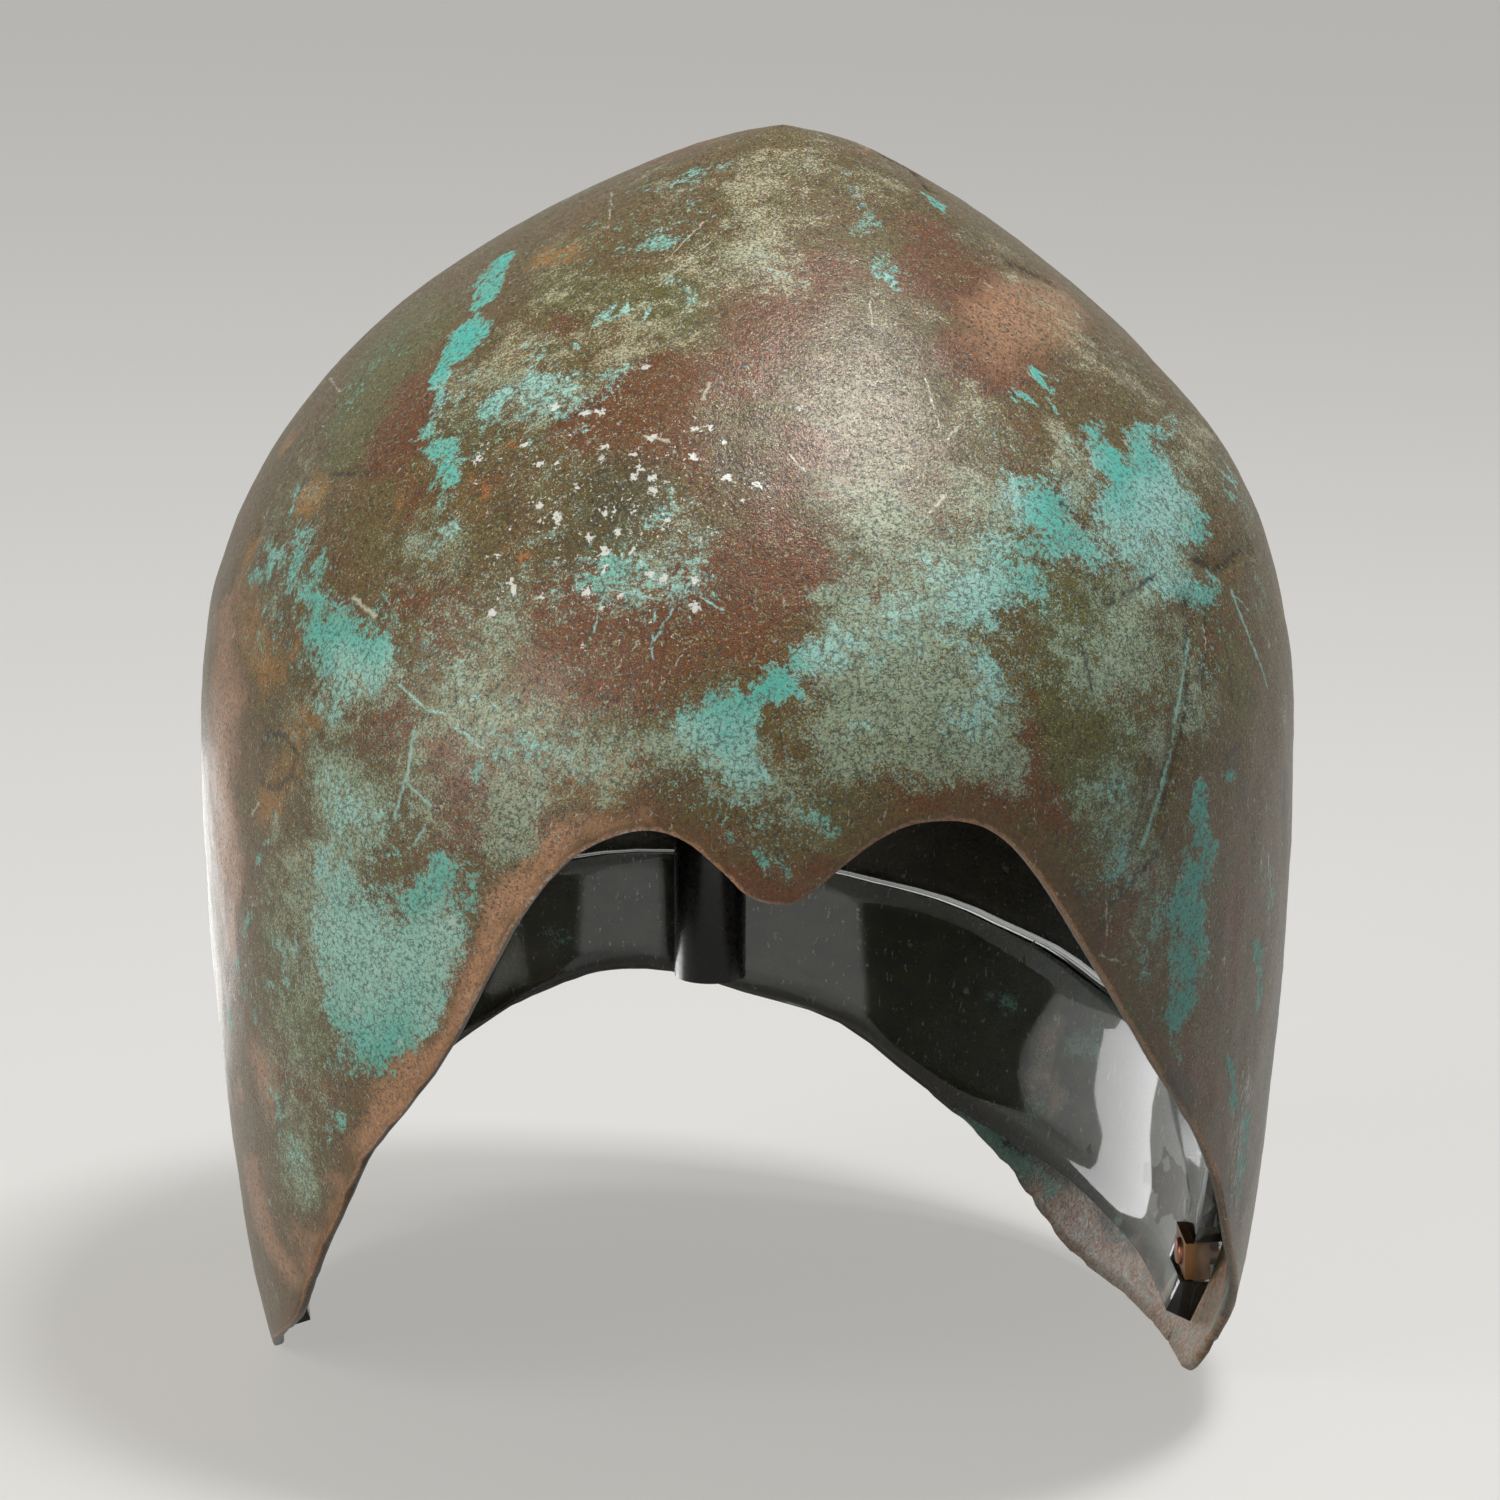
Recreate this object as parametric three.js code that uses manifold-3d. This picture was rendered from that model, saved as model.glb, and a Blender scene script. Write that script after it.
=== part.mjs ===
// A hammered bronze helmet on its clear display liner, in millimetres.
// The form is laid out with the helmet upright: -Y is the face, +Z is up and +X is the wearer's left.
// The finished group is then leaned onto the lowest points of its rim, so that it stands at z = 0.
import * as THREE from "three";
import { mergeVertices } from "three/addons/utils/BufferGeometryUtils.js";
import Module from "manifold-3d";

// Bowl of the helmet
const CROWN_Z = 218.2;
const WIDEST_Z = 114.3;
const HALF_WIDTH = 97.5;
const FRONT_REACH = 112;
const BACK_REACH = 118;
const CROWN_SHIFT = 6.8;
const BRONZE_WALL = 1.8;
const SECTION_POWER = 2.2;
const DOME_RISE_POWER = 2.07;
const DOME_ROUND_POWER = 1.272;
const CROWN_SHIFT_POWER = 3.254;
const SKIRT_TAPER_SHARE = 0.092;

// Inward bend of the two cheek flaps, starting at this height and growing downwards
const TUCK_START_Z = 18;
const TUCK_LEFT = 2.4;
const TUCK_RIGHT = 1.2;

// Rim: a smooth curve between the lowest point of the edge and the top of the eye arches.
// Turns are in degrees from the nose towards the wearer's left, shares are heights up that span.
const BROW_Z = 121.8;
const RIM_FOOT_Z = -13.5;
const rim_turn_degs = [
  0, 2.5, 5.7, 9, 12.7, 16.5, 20.7, 25.9, 32.4, 37, 43, 50, 55,
  66, 74, 79.5, 88, 98, 112, 125, 131, 136.5, 140, 147, 156, 162, 168, 175,
  189, 200, 206, 220, 229, 236, 243, 255, 275.4, 281, 287, 301,
  308, 313, 317.6, 323.6, 330.8, 334.5, 338.7, 343.9, 348.7, 352.9, 355.8,
];
const rim_height_shares = [
  0.899, 0.926, 0.965, 0.994, 1, 0.99, 0.937, 0.827, 0.698, 0.614, 0.525, 0.418, 0.322,
  0.193, 0.1, 0.025, 0.017, 0.009, 0.002, 0, 0.011, 0.033, 0.052, 0.103, 0.16, 0.226, 0.268, 0.288,
  0.332, 0.297, 0.271, 0.2, 0.153, 0.097, 0.07, 0.07, 0.077, 0.105, 0.135, 0.222,
  0.328, 0.405, 0.503, 0.585, 0.716, 0.824, 0.916, 0.98, 0.998, 0.965, 0.914,
];

// Directions in which the shell has a column of corners, closest at the nose and at the flap tips
const column_turn_degs = [
  0, 2, 4, 6, 9, 12, 15, 18, 21, 24, 27, 30, 34, 38, 42, 46, 50, 54, 58, 62, 66, 70, 74, 77.5,
  80.5, 83, 86, 90, 95, 100, 106, 112, 118, 124, 130, 135, 140, 145, 150, 155, 160, 165, 170, 175,
];
const SHELL_ROWS = 22;
const PROFILE_STEPS = 160;

// Clear liner: a bent acrylic band from cheek to cheek round the back of the head
const LINER_GAP = 0.7;
const LINER_THICKNESS = 5;
const LINER_TOP_Z = 55;
const LINER_FOOT_Z = -5;
const LINER_COLUMNS = 52;
const LINER_ROWS = 6;
const liner_turn_degs = [
  87, 95, 108, 118, 131, 140, 147, 153, 157, 162,
  167, 175, 189, 200, 206, 220, 240, 262, 272.5,
];
const liner_top_shares = [
  0.62, 0.63, 0.65, 0.69, 0.725, 0.787, 0.823, 0.865, 0.885, 0.905,
  0.932, 0.968, 1, 0.975, 0.94, 0.84, 0.72, 0.64, 0.61,
];
const liner_foot_shares = [
  0, 0, 0.017, 0.033, 0.083, 0.125, 0.167, 0.225, 0.28, 0.375,
  0.452, 0.515, 0.63, 0.57, 0.505, 0.37, 0.22, 0.08, 0.05,
];

// Holding pins and the brass blocks that guide them through the liner's two cheek tabs
const PIN_Y = 2;
const LEFT_PIN_Z = 7.6;
const RIGHT_PIN_Z = 10;
const PIN_RADIUS = 2.5;
const PIN_RECESS = 0.5;
const PIN_TAIL = 0.9;
const PIN_CHAMFER = 0.4;
const PIN_RUNNING_GAP = 0.06;
const HELMET_HOLE_RADIUS = 3.3;
const BLOCK_THICKNESS = 4.6;
const BLOCK_LENGTH = 12.5;
const BLOCK_HEIGHT = 7;
const BLOCK_WALL_GAP = 1;
const POCKET_GAP = 0.3;

// Black upright rod at the nape and the two screws that hold the liner to it
const ROD_RADIUS = 7;
const ROD_FLAT_DEPTH = 1;
const ROD_FOOT_Z = 33;
const ROD_TOP_Z = 66;
const ROD_EDGE_ROUND = 1.2;
const ROD_EDGE_STEPS = 6;
const ROD_SEAT_GAP = 0.3;
const SCREW_LOWER_Z = 37.5;
const SCREW_UPPER_Z = 48.5;
const SCREW_SHANK_RADIUS = 1.6;
const SCREW_HEAD_RADIUS = 3.4;
const SCREW_HEAD_HEIGHT = 1.9;
const SCREW_HEAD_SINK = 0.4;
const SCREW_BITE = 7;
const SCREW_HOLE_GAP = 0.3;
const SCREW_SLOT_WIDTH = 0.9;
const SCREW_SLOT_DEPTH = 0.8;

// Lean of the standing helmet, which rests on the tip of its right flap and the longer left flap
const LEAN_SIDE_DEG = -2.87;
const LEAN_FORWARD_DEG = 2.78;

const ROUND_SEGMENTS = 40;
const CUTTER_REACH = 30;
const FULL_TURN_DEG = 360;

const wasm = await Module();
wasm.setup();

function toManifold(geometry) {
  const bare = new THREE.BufferGeometry();
  bare.setAttribute("position", geometry.getAttribute("position").clone());
  if (geometry.index) {
    bare.setIndex(geometry.index.clone());
  }
  const merged = mergeVertices(bare);
  const mesh = new wasm.Mesh({
    numProp: 3,
    vertProperties: new Float32Array(merged.getAttribute("position").array),
    triVerts: new Uint32Array(merged.index.array),
  });
  return new wasm.Manifold(mesh);
}

function fromManifold(solid) {
  const mesh = solid.getMesh();
  const geometry = new THREE.BufferGeometry();
  const positions = new Float32Array(mesh.vertProperties);
  geometry.setAttribute("position", new THREE.BufferAttribute(positions, 3));
  geometry.setIndex(new THREE.BufferAttribute(new Uint32Array(mesh.triVerts), 1));
  return geometry;
}

// Value of a smooth curve through the knots that never overshoots a high or a low knot.
// A closed curve comes round again after a full turn.
function smoothCurve(turns, values, turn, closed) {
  const last = turns.length - 1;
  const at = (k) => {
    if (!closed) {
      const j = Math.min(Math.max(k, 0), last);
      return [turns[j], values[j]];
    }
    const count = turns.length;
    const laps = Math.floor(k / count);
    const j = k - laps * count;
    return [turns[j] + laps * FULL_TURN_DEG, values[j]];
  };
  let k = last;
  while (k > 0 && turns[k] > turn) {
    k -= 1;
  }
  if (!closed) {
    k = Math.min(k, last - 1);
  }
  const slope = (a, b) => (b[0] === a[0] ? 0 : (b[1] - a[1]) / (b[0] - a[0]));
  const tangent = (j) => {
    const before = slope(at(j - 1), at(j));
    const after = slope(at(j), at(j + 1));
    if (before * after <= 0) {
      return 0;
    }
    return (2 * before * after) / (before + after);
  };
  const [t0, v0] = at(k);
  const [t1, v1] = at(k + 1);
  const span = t1 - t0;
  const u = Math.min(Math.max((turn - t0) / span, 0), 1);
  const m0 = tangent(k) * span;
  const m1 = tangent(k + 1) * span;
  const h00 = (1 + 2 * u) * (1 - u) ** 2;
  const h10 = u * (1 - u) ** 2;
  const h01 = u * u * (3 - 2 * u);
  const h11 = u * u * (u - 1);
  return h00 * v0 + h10 * m0 + h01 * v1 + h11 * m1;
}

const wrapTurn = (turn) => ((turn % FULL_TURN_DEG) + FULL_TURN_DEG) % FULL_TURN_DEG;

function rimHeight(turn) {
  const share = smoothCurve(rim_turn_degs, rim_height_shares, wrapTurn(turn), true);
  return RIM_FOOT_Z + share * (BROW_Z - RIM_FOOT_Z);
}

// Outer skin of the bowl at a turn and a height: an oval with slightly squared sides,
// domed above the widest level, gently tapered below it and bent in at the flap tips.
function skinPoint(turn, z) {
  const angle = THREE.MathUtils.degToRad(turn);
  const reach = Math.cos(angle) >= 0 ? FRONT_REACH : BACK_REACH;
  const side = Math.abs(Math.sin(angle)) * reach;
  const along = Math.abs(Math.cos(angle)) * HALF_WIDTH;
  const parameter = Math.atan2(side ** (SECTION_POWER / 2), along ** (SECTION_POWER / 2));
  const sx = Math.sign(Math.sin(angle)) * Math.sin(parameter) ** (2 / SECTION_POWER);
  const sy = -Math.sign(Math.cos(angle)) * Math.cos(parameter) ** (2 / SECTION_POWER);
  const rise = Math.min(Math.max((z - WIDEST_Z) / (CROWN_Z - WIDEST_Z), 0), 1);
  const drop = Math.max((WIDEST_Z - z) / WIDEST_Z, 0);
  const dome = (1 - rise ** DOME_RISE_POWER) ** (1 / DOME_ROUND_POWER);
  const taper = 1 - SKIRT_TAPER_SHARE * drop * drop;
  const radius = z > WIDEST_Z ? dome : taper;
  const bend = Math.max((TUCK_START_Z - z) / TUCK_START_Z, 0) ** 2;
  const tuck = bend * (sx > 0 ? TUCK_LEFT : TUCK_RIGHT);
  const x = (HALF_WIDTH * radius - tuck) * sx + CROWN_SHIFT * rise ** CROWN_SHIFT_POWER;
  return new THREE.Vector3(x, reach * radius * sy, z);
}

const NORMAL_TURN_STEP_DEG = 0.2;
const NORMAL_STEP_SHARE = 0.0005;

function skinNormal(turn, z) {
  const step = (CROWN_Z - RIM_FOOT_Z) * NORMAL_STEP_SHARE;
  const top = Math.min(z + step, CROWN_Z - step);
  const across = skinPoint(turn + NORMAL_TURN_STEP_DEG, z).sub(skinPoint(turn - NORMAL_TURN_STEP_DEG, z));
  const up = skinPoint(turn, top).sub(skinPoint(turn, top - 2 * step));
  return across.cross(up).normalize();
}

const offsetPoint = (turn, z, depth) => skinPoint(turn, z).addScaledVector(skinNormal(turn, z), -depth);

// Heights down one column of the shell, evenly spaced along the surface from crown to rim
function columnHeights(turn) {
  const rim = rimHeight(turn);
  const heights = [];
  const lengths = [0];
  let before = skinPoint(turn, CROWN_Z);
  for (let i = 0; i <= PROFILE_STEPS; i += 1) {
    const bow = 1 - Math.cos(((i / PROFILE_STEPS) * Math.PI) / 2);
    heights.push(CROWN_Z - (CROWN_Z - rim) * bow);
    if (i > 0) {
      const point = skinPoint(turn, heights[i]);
      lengths.push(lengths[i - 1] + point.distanceTo(before));
      before = point;
    }
  }
  const rows = [];
  let k = 0;
  for (let row = 1; row <= SHELL_ROWS; row += 1) {
    const wanted = (lengths[PROFILE_STEPS] * row) / SHELL_ROWS;
    while (k < PROFILE_STEPS - 1 && lengths[k + 1] < wanted) {
      k += 1;
    }
    const u = (wanted - lengths[k]) / (lengths[k + 1] - lengths[k]);
    rows.push(heights[k] + (heights[k + 1] - heights[k]) * Math.min(u, 1));
  }
  return rows;
}

function buildGeometry(points, faces) {
  const geometry = new THREE.BufferGeometry();
  const positions = points.flatMap((point) => point.toArray());
  geometry.setAttribute("position", new THREE.Float32BufferAttribute(positions, 3));
  geometry.setIndex(faces.flat());
  return geometry;
}

// One-piece shell: outer skin, inner skin and the narrow edge that joins them round the rim
function shellGeometry() {
  const mirrored = column_turn_degs.slice(1).map((turn) => FULL_TURN_DEG - turn).reverse();
  const turns = [...column_turn_degs, FULL_TURN_DEG / 2, ...mirrored];
  const count = turns.length;
  const points = [skinPoint(0, CROWN_Z), skinPoint(0, CROWN_Z).setZ(CROWN_Z - BRONZE_WALL)];
  const outer = [];
  const inner = [];
  for (const turn of turns) {
    const rows = columnHeights(turn);
    outer.push(rows.map((z) => points.push(skinPoint(turn, z)) - 1));
    inner.push(rows.map((z) => points.push(offsetPoint(turn, z, BRONZE_WALL)) - 1));
  }
  const faces = [];
  for (let i = 0; i < count; i += 1) {
    const j = (i + 1) % count;
    faces.push([0, outer[i][0], outer[j][0]]);
    faces.push([1, inner[j][0], inner[i][0]]);
    for (let row = 0; row < SHELL_ROWS - 1; row += 1) {
      const a = outer[i][row];
      const b = outer[j][row];
      const c = outer[j][row + 1];
      const d = outer[i][row + 1];
      faces.push([a, d, c], [a, c, b]);
      const e = inner[i][row];
      const f = inner[j][row];
      const g = inner[j][row + 1];
      const h = inner[i][row + 1];
      faces.push([e, g, h], [e, f, g]);
    }
    const last = SHELL_ROWS - 1;
    faces.push([outer[i][last], inner[i][last], inner[j][last]]);
    faces.push([outer[i][last], inner[j][last], outer[j][last]]);
  }
  return buildGeometry(points, faces);
}

// Bent band with its own upper and lower edge curves, following the inside of the bronze
function linerGeometry() {
  const first = liner_turn_degs[0];
  const end = liner_turn_degs[liner_turn_degs.length - 1];
  const height = LINER_TOP_Z - LINER_FOOT_Z;
  const near = BRONZE_WALL + LINER_GAP;
  const far = near + LINER_THICKNESS;
  const points = [];
  const outer = [];
  const inner = [];
  for (let i = 0; i <= LINER_COLUMNS; i += 1) {
    const turn = first + ((end - first) * i) / LINER_COLUMNS;
    const top = LINER_FOOT_Z + height * smoothCurve(liner_turn_degs, liner_top_shares, turn, false);
    const foot = LINER_FOOT_Z + height * smoothCurve(liner_turn_degs, liner_foot_shares, turn, false);
    const heights = Array.from(
      { length: LINER_ROWS + 1 },
      (_, row) => foot + ((top - foot) * row) / LINER_ROWS,
    );
    outer.push(heights.map((z) => points.push(offsetPoint(turn, z, near)) - 1));
    inner.push(heights.map((z) => points.push(offsetPoint(turn, z, far)) - 1));
  }
  const faces = [];
  const quad = (a, b, c, d) => faces.push([a, b, c], [a, c, d]);
  for (let i = 0; i < LINER_COLUMNS; i += 1) {
    for (let row = 0; row < LINER_ROWS; row += 1) {
      quad(outer[i][row], outer[i + 1][row], outer[i + 1][row + 1], outer[i][row + 1]);
      quad(inner[i][row], inner[i][row + 1], inner[i + 1][row + 1], inner[i + 1][row]);
    }
    quad(outer[i][LINER_ROWS], outer[i + 1][LINER_ROWS], inner[i + 1][LINER_ROWS], inner[i][LINER_ROWS]);
    quad(outer[i][0], inner[i][0], inner[i + 1][0], outer[i + 1][0]);
  }
  for (let row = 0; row < LINER_ROWS; row += 1) {
    quad(outer[0][row], outer[0][row + 1], inner[0][row + 1], inner[0][row]);
    quad(outer[LINER_COLUMNS][row], inner[LINER_COLUMNS][row], inner[LINER_COLUMNS][row + 1],
      outer[LINER_COLUMNS][row + 1]);
  }
  return buildGeometry(points, faces);
}

// Turned solid along +Z from a closed list of [radius, height] corners
function turned(corners) {
  const outline = corners.map(([radius, height]) => new THREE.Vector2(radius, height));
  const geometry = new THREE.LatheGeometry(outline, ROUND_SEGMENTS);
  geometry.rotateX(Math.PI / 2);
  return toManifold(geometry);
}

const rodAlong = (radius, from, to) => turned([[0, from], [radius, from], [radius, to], [0, to]]);

function cuboid(sizeX, sizeY, sizeZ, x, y, z) {
  const box = new THREE.BoxGeometry(sizeX, sizeY, sizeZ);
  box.translate(x, y, z);
  return toManifold(box);
}

const alongX = (solid, y, z) => solid.rotate([0, 90, 0]).translate([0, y, z]);
const alongY = (solid, z) => solid.rotate([-90, 0, 0]).translate([0, 0, z]);

// Pin, block and cutters of one cheek. The side is +1 for the wearer's left and -1 for the right.
function cheekFastening(side) {
  const turn = side > 0 ? 90 : 270;
  const pinZ = side > 0 ? LEFT_PIN_Z : RIGHT_PIN_Z;
  const skin = Math.abs(skinPoint(turn, pinZ).x);
  const wallInside = Math.abs(offsetPoint(turn, pinZ - BLOCK_HEIGHT / 2, BRONZE_WALL).x);
  const blockOutside = wallInside - BLOCK_WALL_GAP;
  const blockInside = blockOutside - BLOCK_THICKNESS;
  const pinEnd = skin - PIN_RECESS;
  const pinTail = blockInside - PIN_TAIL;
  const body = cuboid(
    BLOCK_THICKNESS, BLOCK_LENGTH, BLOCK_HEIGHT, (side * (blockOutside + blockInside)) / 2, PIN_Y, pinZ,
  );
  const boreCutter = rodAlong(PIN_RADIUS + PIN_RUNNING_GAP, pinTail - CUTTER_REACH, pinEnd + CUTTER_REACH);
  const holeCutter = rodAlong(HELMET_HOLE_RADIUS, pinTail - CUTTER_REACH, pinEnd + CUTTER_REACH);
  const pin = turned([
    [0, pinTail],
    [PIN_RADIUS - PIN_CHAMFER, pinTail],
    [PIN_RADIUS, pinTail + PIN_CHAMFER],
    [PIN_RADIUS, pinEnd - PIN_CHAMFER],
    [PIN_RADIUS - PIN_CHAMFER, pinEnd],
    [0, pinEnd],
  ]);
  const lay = (solid) => {
    const laid = alongX(solid, PIN_Y, pinZ);
    return side > 0 ? laid : laid.mirror([1, 0, 0]);
  };
  const pocket = cuboid(
    LINER_THICKNESS + CUTTER_REACH, BLOCK_LENGTH + 2 * POCKET_GAP, BLOCK_HEIGHT + 2 * POCKET_GAP,
    (side * (blockOutside + blockInside)) / 2, PIN_Y, pinZ,
  );
  return {
    pin: lay(pin),
    block: body.subtract(lay(boreCutter)),
    hole: lay(holeCutter),
    pocket,
  };
}

// Front of the liner at the nape, with a small gap so that the rod only just doesn't touch it
const rodSeat = (z) => offsetPoint(180, z, BRONZE_WALL + LINER_GAP + LINER_THICKNESS + ROD_SEAT_GAP);
const rodAxisY = rodSeat(SCREW_LOWER_Z).y - ROD_RADIUS + ROD_FLAT_DEPTH;

// Screw with a slotted flat head, driven forwards from behind the liner into the rod
function napeScrew(z) {
  const linerBack = offsetPoint(180, z, BRONZE_WALL + LINER_GAP).y;
  const headBack = linerBack - SCREW_HEAD_SINK;
  const headFront = headBack - SCREW_HEAD_HEIGHT;
  const tip = rodAxisY + ROD_RADIUS - SCREW_BITE;
  const screw = turned([
    [0, tip],
    [SCREW_SHANK_RADIUS, tip + SCREW_SHANK_RADIUS],
    [SCREW_SHANK_RADIUS, headFront],
    [SCREW_HEAD_RADIUS, headFront],
    [SCREW_HEAD_RADIUS, headBack],
    [0, headBack],
  ]);
  const slot = cuboid(
    2 * SCREW_HEAD_RADIUS + CUTTER_REACH, SCREW_SLOT_WIDTH, 2 * SCREW_SLOT_DEPTH, 0, 0, headBack,
  );
  const way = turned([
    [0, tip - SCREW_HOLE_GAP],
    [SCREW_SHANK_RADIUS + SCREW_HOLE_GAP, tip - SCREW_HOLE_GAP],
    [SCREW_SHANK_RADIUS + SCREW_HOLE_GAP, headFront - SCREW_HOLE_GAP],
    [SCREW_HEAD_RADIUS + SCREW_HOLE_GAP, headFront - SCREW_HOLE_GAP],
    [SCREW_HEAD_RADIUS + SCREW_HOLE_GAP, headBack + CUTTER_REACH],
    [0, headBack + CUTTER_REACH],
  ]);
  return { screw: alongY(screw.subtract(slot), z), way: alongY(way, z) };
}

// Upright rod with rounded ends, flattened at the back where the liner is screwed against it
function rodSolid() {
  const round = new THREE.Vector2();
  const outline = [[0, ROD_FOOT_Z], [ROD_RADIUS, ROD_FOOT_Z]];
  for (let i = 0; i <= ROD_EDGE_STEPS; i += 1) {
    const angle = ((i / ROD_EDGE_STEPS) * Math.PI) / 2;
    round.set(Math.cos(angle), Math.sin(angle)).multiplyScalar(ROD_EDGE_ROUND);
    outline.push([ROD_RADIUS - ROD_EDGE_ROUND + round.x, ROD_TOP_Z - ROD_EDGE_ROUND + round.y]);
  }
  outline.push([0, ROD_TOP_Z]);
  const low = rodSeat(SCREW_LOWER_Z);
  const high = rodSeat(SCREW_UPPER_Z);
  const lean = Math.atan2(high.y - low.y, high.z - low.z);
  const seat = cuboid(CUTTER_REACH, CUTTER_REACH, ROD_TOP_Z + CUTTER_REACH, 0, CUTTER_REACH / 2, 0)
    .rotate([-THREE.MathUtils.radToDeg(lean), 0, 0])
    .translate([0, low.y, low.z]);
  return turned(outline).translate([0, rodAxisY, 0]).subtract(seat);
}

const bronze = new THREE.MeshStandardMaterial({ color: 0x6f6248, roughness: 0.55, metalness: 0.55 });
const acrylic = new THREE.MeshStandardMaterial({
  color: 0xdfe6e8, roughness: 0.08, metalness: 0, transparent: true, opacity: 0.35,
});
const blackRod = new THREE.MeshStandardMaterial({ color: 0x0b0b0d, roughness: 0.3, metalness: 0.2 });
const steelScrew = new THREE.MeshStandardMaterial({ color: 0x8c8f92, roughness: 0.35, metalness: 0.9 });
const brass = new THREE.MeshStandardMaterial({ color: 0x9a7346, roughness: 0.35, metalness: 0.85 });
const copper = new THREE.MeshStandardMaterial({ color: 0xb27a5c, roughness: 0.38, metalness: 0.85 });

const group = new THREE.Group();
const lean = new THREE.Matrix4().makeRotationFromEuler(new THREE.Euler(
  THREE.MathUtils.degToRad(LEAN_FORWARD_DEG),
  THREE.MathUtils.degToRad(LEAN_SIDE_DEG),
  0,
));

function place(name, solid, material) {
  const geometry = fromManifold(solid);
  geometry.applyMatrix4(lean);
  const mesh = new THREE.Mesh(geometry, material.clone());
  mesh.name = name;
  group.add(mesh);
}

const left = cheekFastening(1);
const right = cheekFastening(-1);
const lower = napeScrew(SCREW_LOWER_Z);
const upper = napeScrew(SCREW_UPPER_Z);

place("helmet_shell", toManifold(shellGeometry()).subtract(left.hole).subtract(right.hole), bronze);
const liner = toManifold(linerGeometry())
  .subtract(left.pocket)
  .subtract(right.pocket)
  .subtract(lower.way)
  .subtract(upper.way);
place("support_liner", liner, acrylic);
place("upright_rod", rodSolid().subtract(lower.way).subtract(upper.way), blackRod);
place("rod_screw_lower", lower.screw, steelScrew);
place("rod_screw_upper", upper.screw, steelScrew);
place("left_cheek_block", left.block, brass);
place("left_cheek_pin", left.pin, copper);
place("right_cheek_block", right.block, brass);
place("right_cheek_pin", right.pin, copper);

// Origin at the middle of the footprint, on the surface that the helmet stands on
const bounds = new THREE.Box3().setFromObject(group, true);
const centre = bounds.getCenter(new THREE.Vector3());
for (const mesh of group.children) {
  mesh.geometry.translate(-centre.x, -centre.y, -bounds.min.z);
}

export default group;
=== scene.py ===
import math

import bmesh
import bpy
import numpy as np
from bpy.props import FloatProperty, FloatVectorProperty, IntProperty, PointerProperty
from mathutils import Matrix, Vector, noise
from mathutils.bvhtree import BVHTree
from mathutils.kdtree import KDTree


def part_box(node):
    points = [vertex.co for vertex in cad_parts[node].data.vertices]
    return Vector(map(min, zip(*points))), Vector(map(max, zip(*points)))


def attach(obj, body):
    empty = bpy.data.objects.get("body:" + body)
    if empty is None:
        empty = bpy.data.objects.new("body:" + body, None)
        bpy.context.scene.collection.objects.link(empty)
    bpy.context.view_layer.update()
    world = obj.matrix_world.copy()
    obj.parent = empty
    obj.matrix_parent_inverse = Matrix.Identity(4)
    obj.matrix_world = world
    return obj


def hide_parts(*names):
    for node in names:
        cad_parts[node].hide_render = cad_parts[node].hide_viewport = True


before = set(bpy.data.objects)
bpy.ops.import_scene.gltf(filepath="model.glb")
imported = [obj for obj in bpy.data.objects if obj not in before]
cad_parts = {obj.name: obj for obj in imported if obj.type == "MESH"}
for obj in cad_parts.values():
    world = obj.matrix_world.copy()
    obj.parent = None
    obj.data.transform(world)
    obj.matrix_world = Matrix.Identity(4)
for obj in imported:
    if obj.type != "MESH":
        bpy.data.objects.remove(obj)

bl_info = {
    "name": "Bronze helmet",
    "version": (1, 0, 0),
    "blender": (4, 5, 0),
    "location": "3D View > Sidebar > Helmet",
    "description": "Weathered bronze helmet on a clear display liner",
    "category": "Object",
}

MM = 0.001

# The helmet stands on its flaps, leaned from the upright pose of the photograph
LEAN_FORWARD = math.radians(2.78)
LEAN_SIDE = math.radians(-2.87)
FOOT_CENTRE = Vector((-5.3038, -2.2173, -7.8135)) * MM
LEAN = Matrix.Rotation(LEAN_FORWARD, 3, "X") @ Matrix.Rotation(LEAN_SIDE, 3, "Y")

# Camera of the photograph, laid out about the upright helmet
PHOTO_PIXELS = 1500
PHOTO_MIDDLE = 750
VIEW_TARGET = Vector((0.87, 0, 105)) * MM
PIXELS_PER_MM = 5.58
SENSOR_MM = 36.0
NEAREST_SEEN = 0.01
FARTHEST_SEEN = 20.0

# The key lamp stands where it shines at this pixel of the photograph
HIGHLIGHT_PIXEL = (868, 425)
HIGHLIGHT_SPREAD_PIXELS = 14
KEY_DISTANCE = 1.3
KEY_SIZE = 0.3
KEY_TONE = (0.96, 0.98, 1)

# The soft lamp at the left and the small one above the right shoulder
LAMP_AIM = (0.0, 0.0, 0.11)
LEFT_LAMP_PLACE = (-1.25, -0.85, 0.5)
LEFT_LAMP_SIZE = 0.9
LEFT_LAMP_TONE = (1, 0.95, 0.88)
RIGHT_LAMP_PLACE = (0.5, 0.3, 1.35)
RIGHT_LAMP_SIZE = 0.5
RIGHT_LAMP_TONE = (0.94, 0.98, 1)

# Card on the floor behind the helmet, bent up at its far edge, that only the clear liner mirrors
CARD_FOOT = ((-0.084, 0.13), (-0.18, 0.21), (-0.05, 0.21), (-0.004, 0.13))
CARD_LIFT = 0.002
CARD_RISE = 0.06

# Floor and backdrop: reach of the floor, how much it glows to the eye, and what it throws on the helmet
FLOOR_REACH = 4.0
FLOOR_GLOW_SHARE = 0.55
FLOOR_FIBRE_SHARE = 0.05
FLOOR_FIBRE_TONE = (0.4, 0.4, 0.4)
FLOOR_BOUNCE = (0.16, 0.16, 0.16)
BACKDROP_TONE = 0.42
BACKDROP_TINT = (1, 0.99, 0.975)


def rest(point):
    """Place in the standing pose of a point of the upright helmet."""
    return LEAN @ Vector(point) - FOOT_CENTRE


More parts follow.
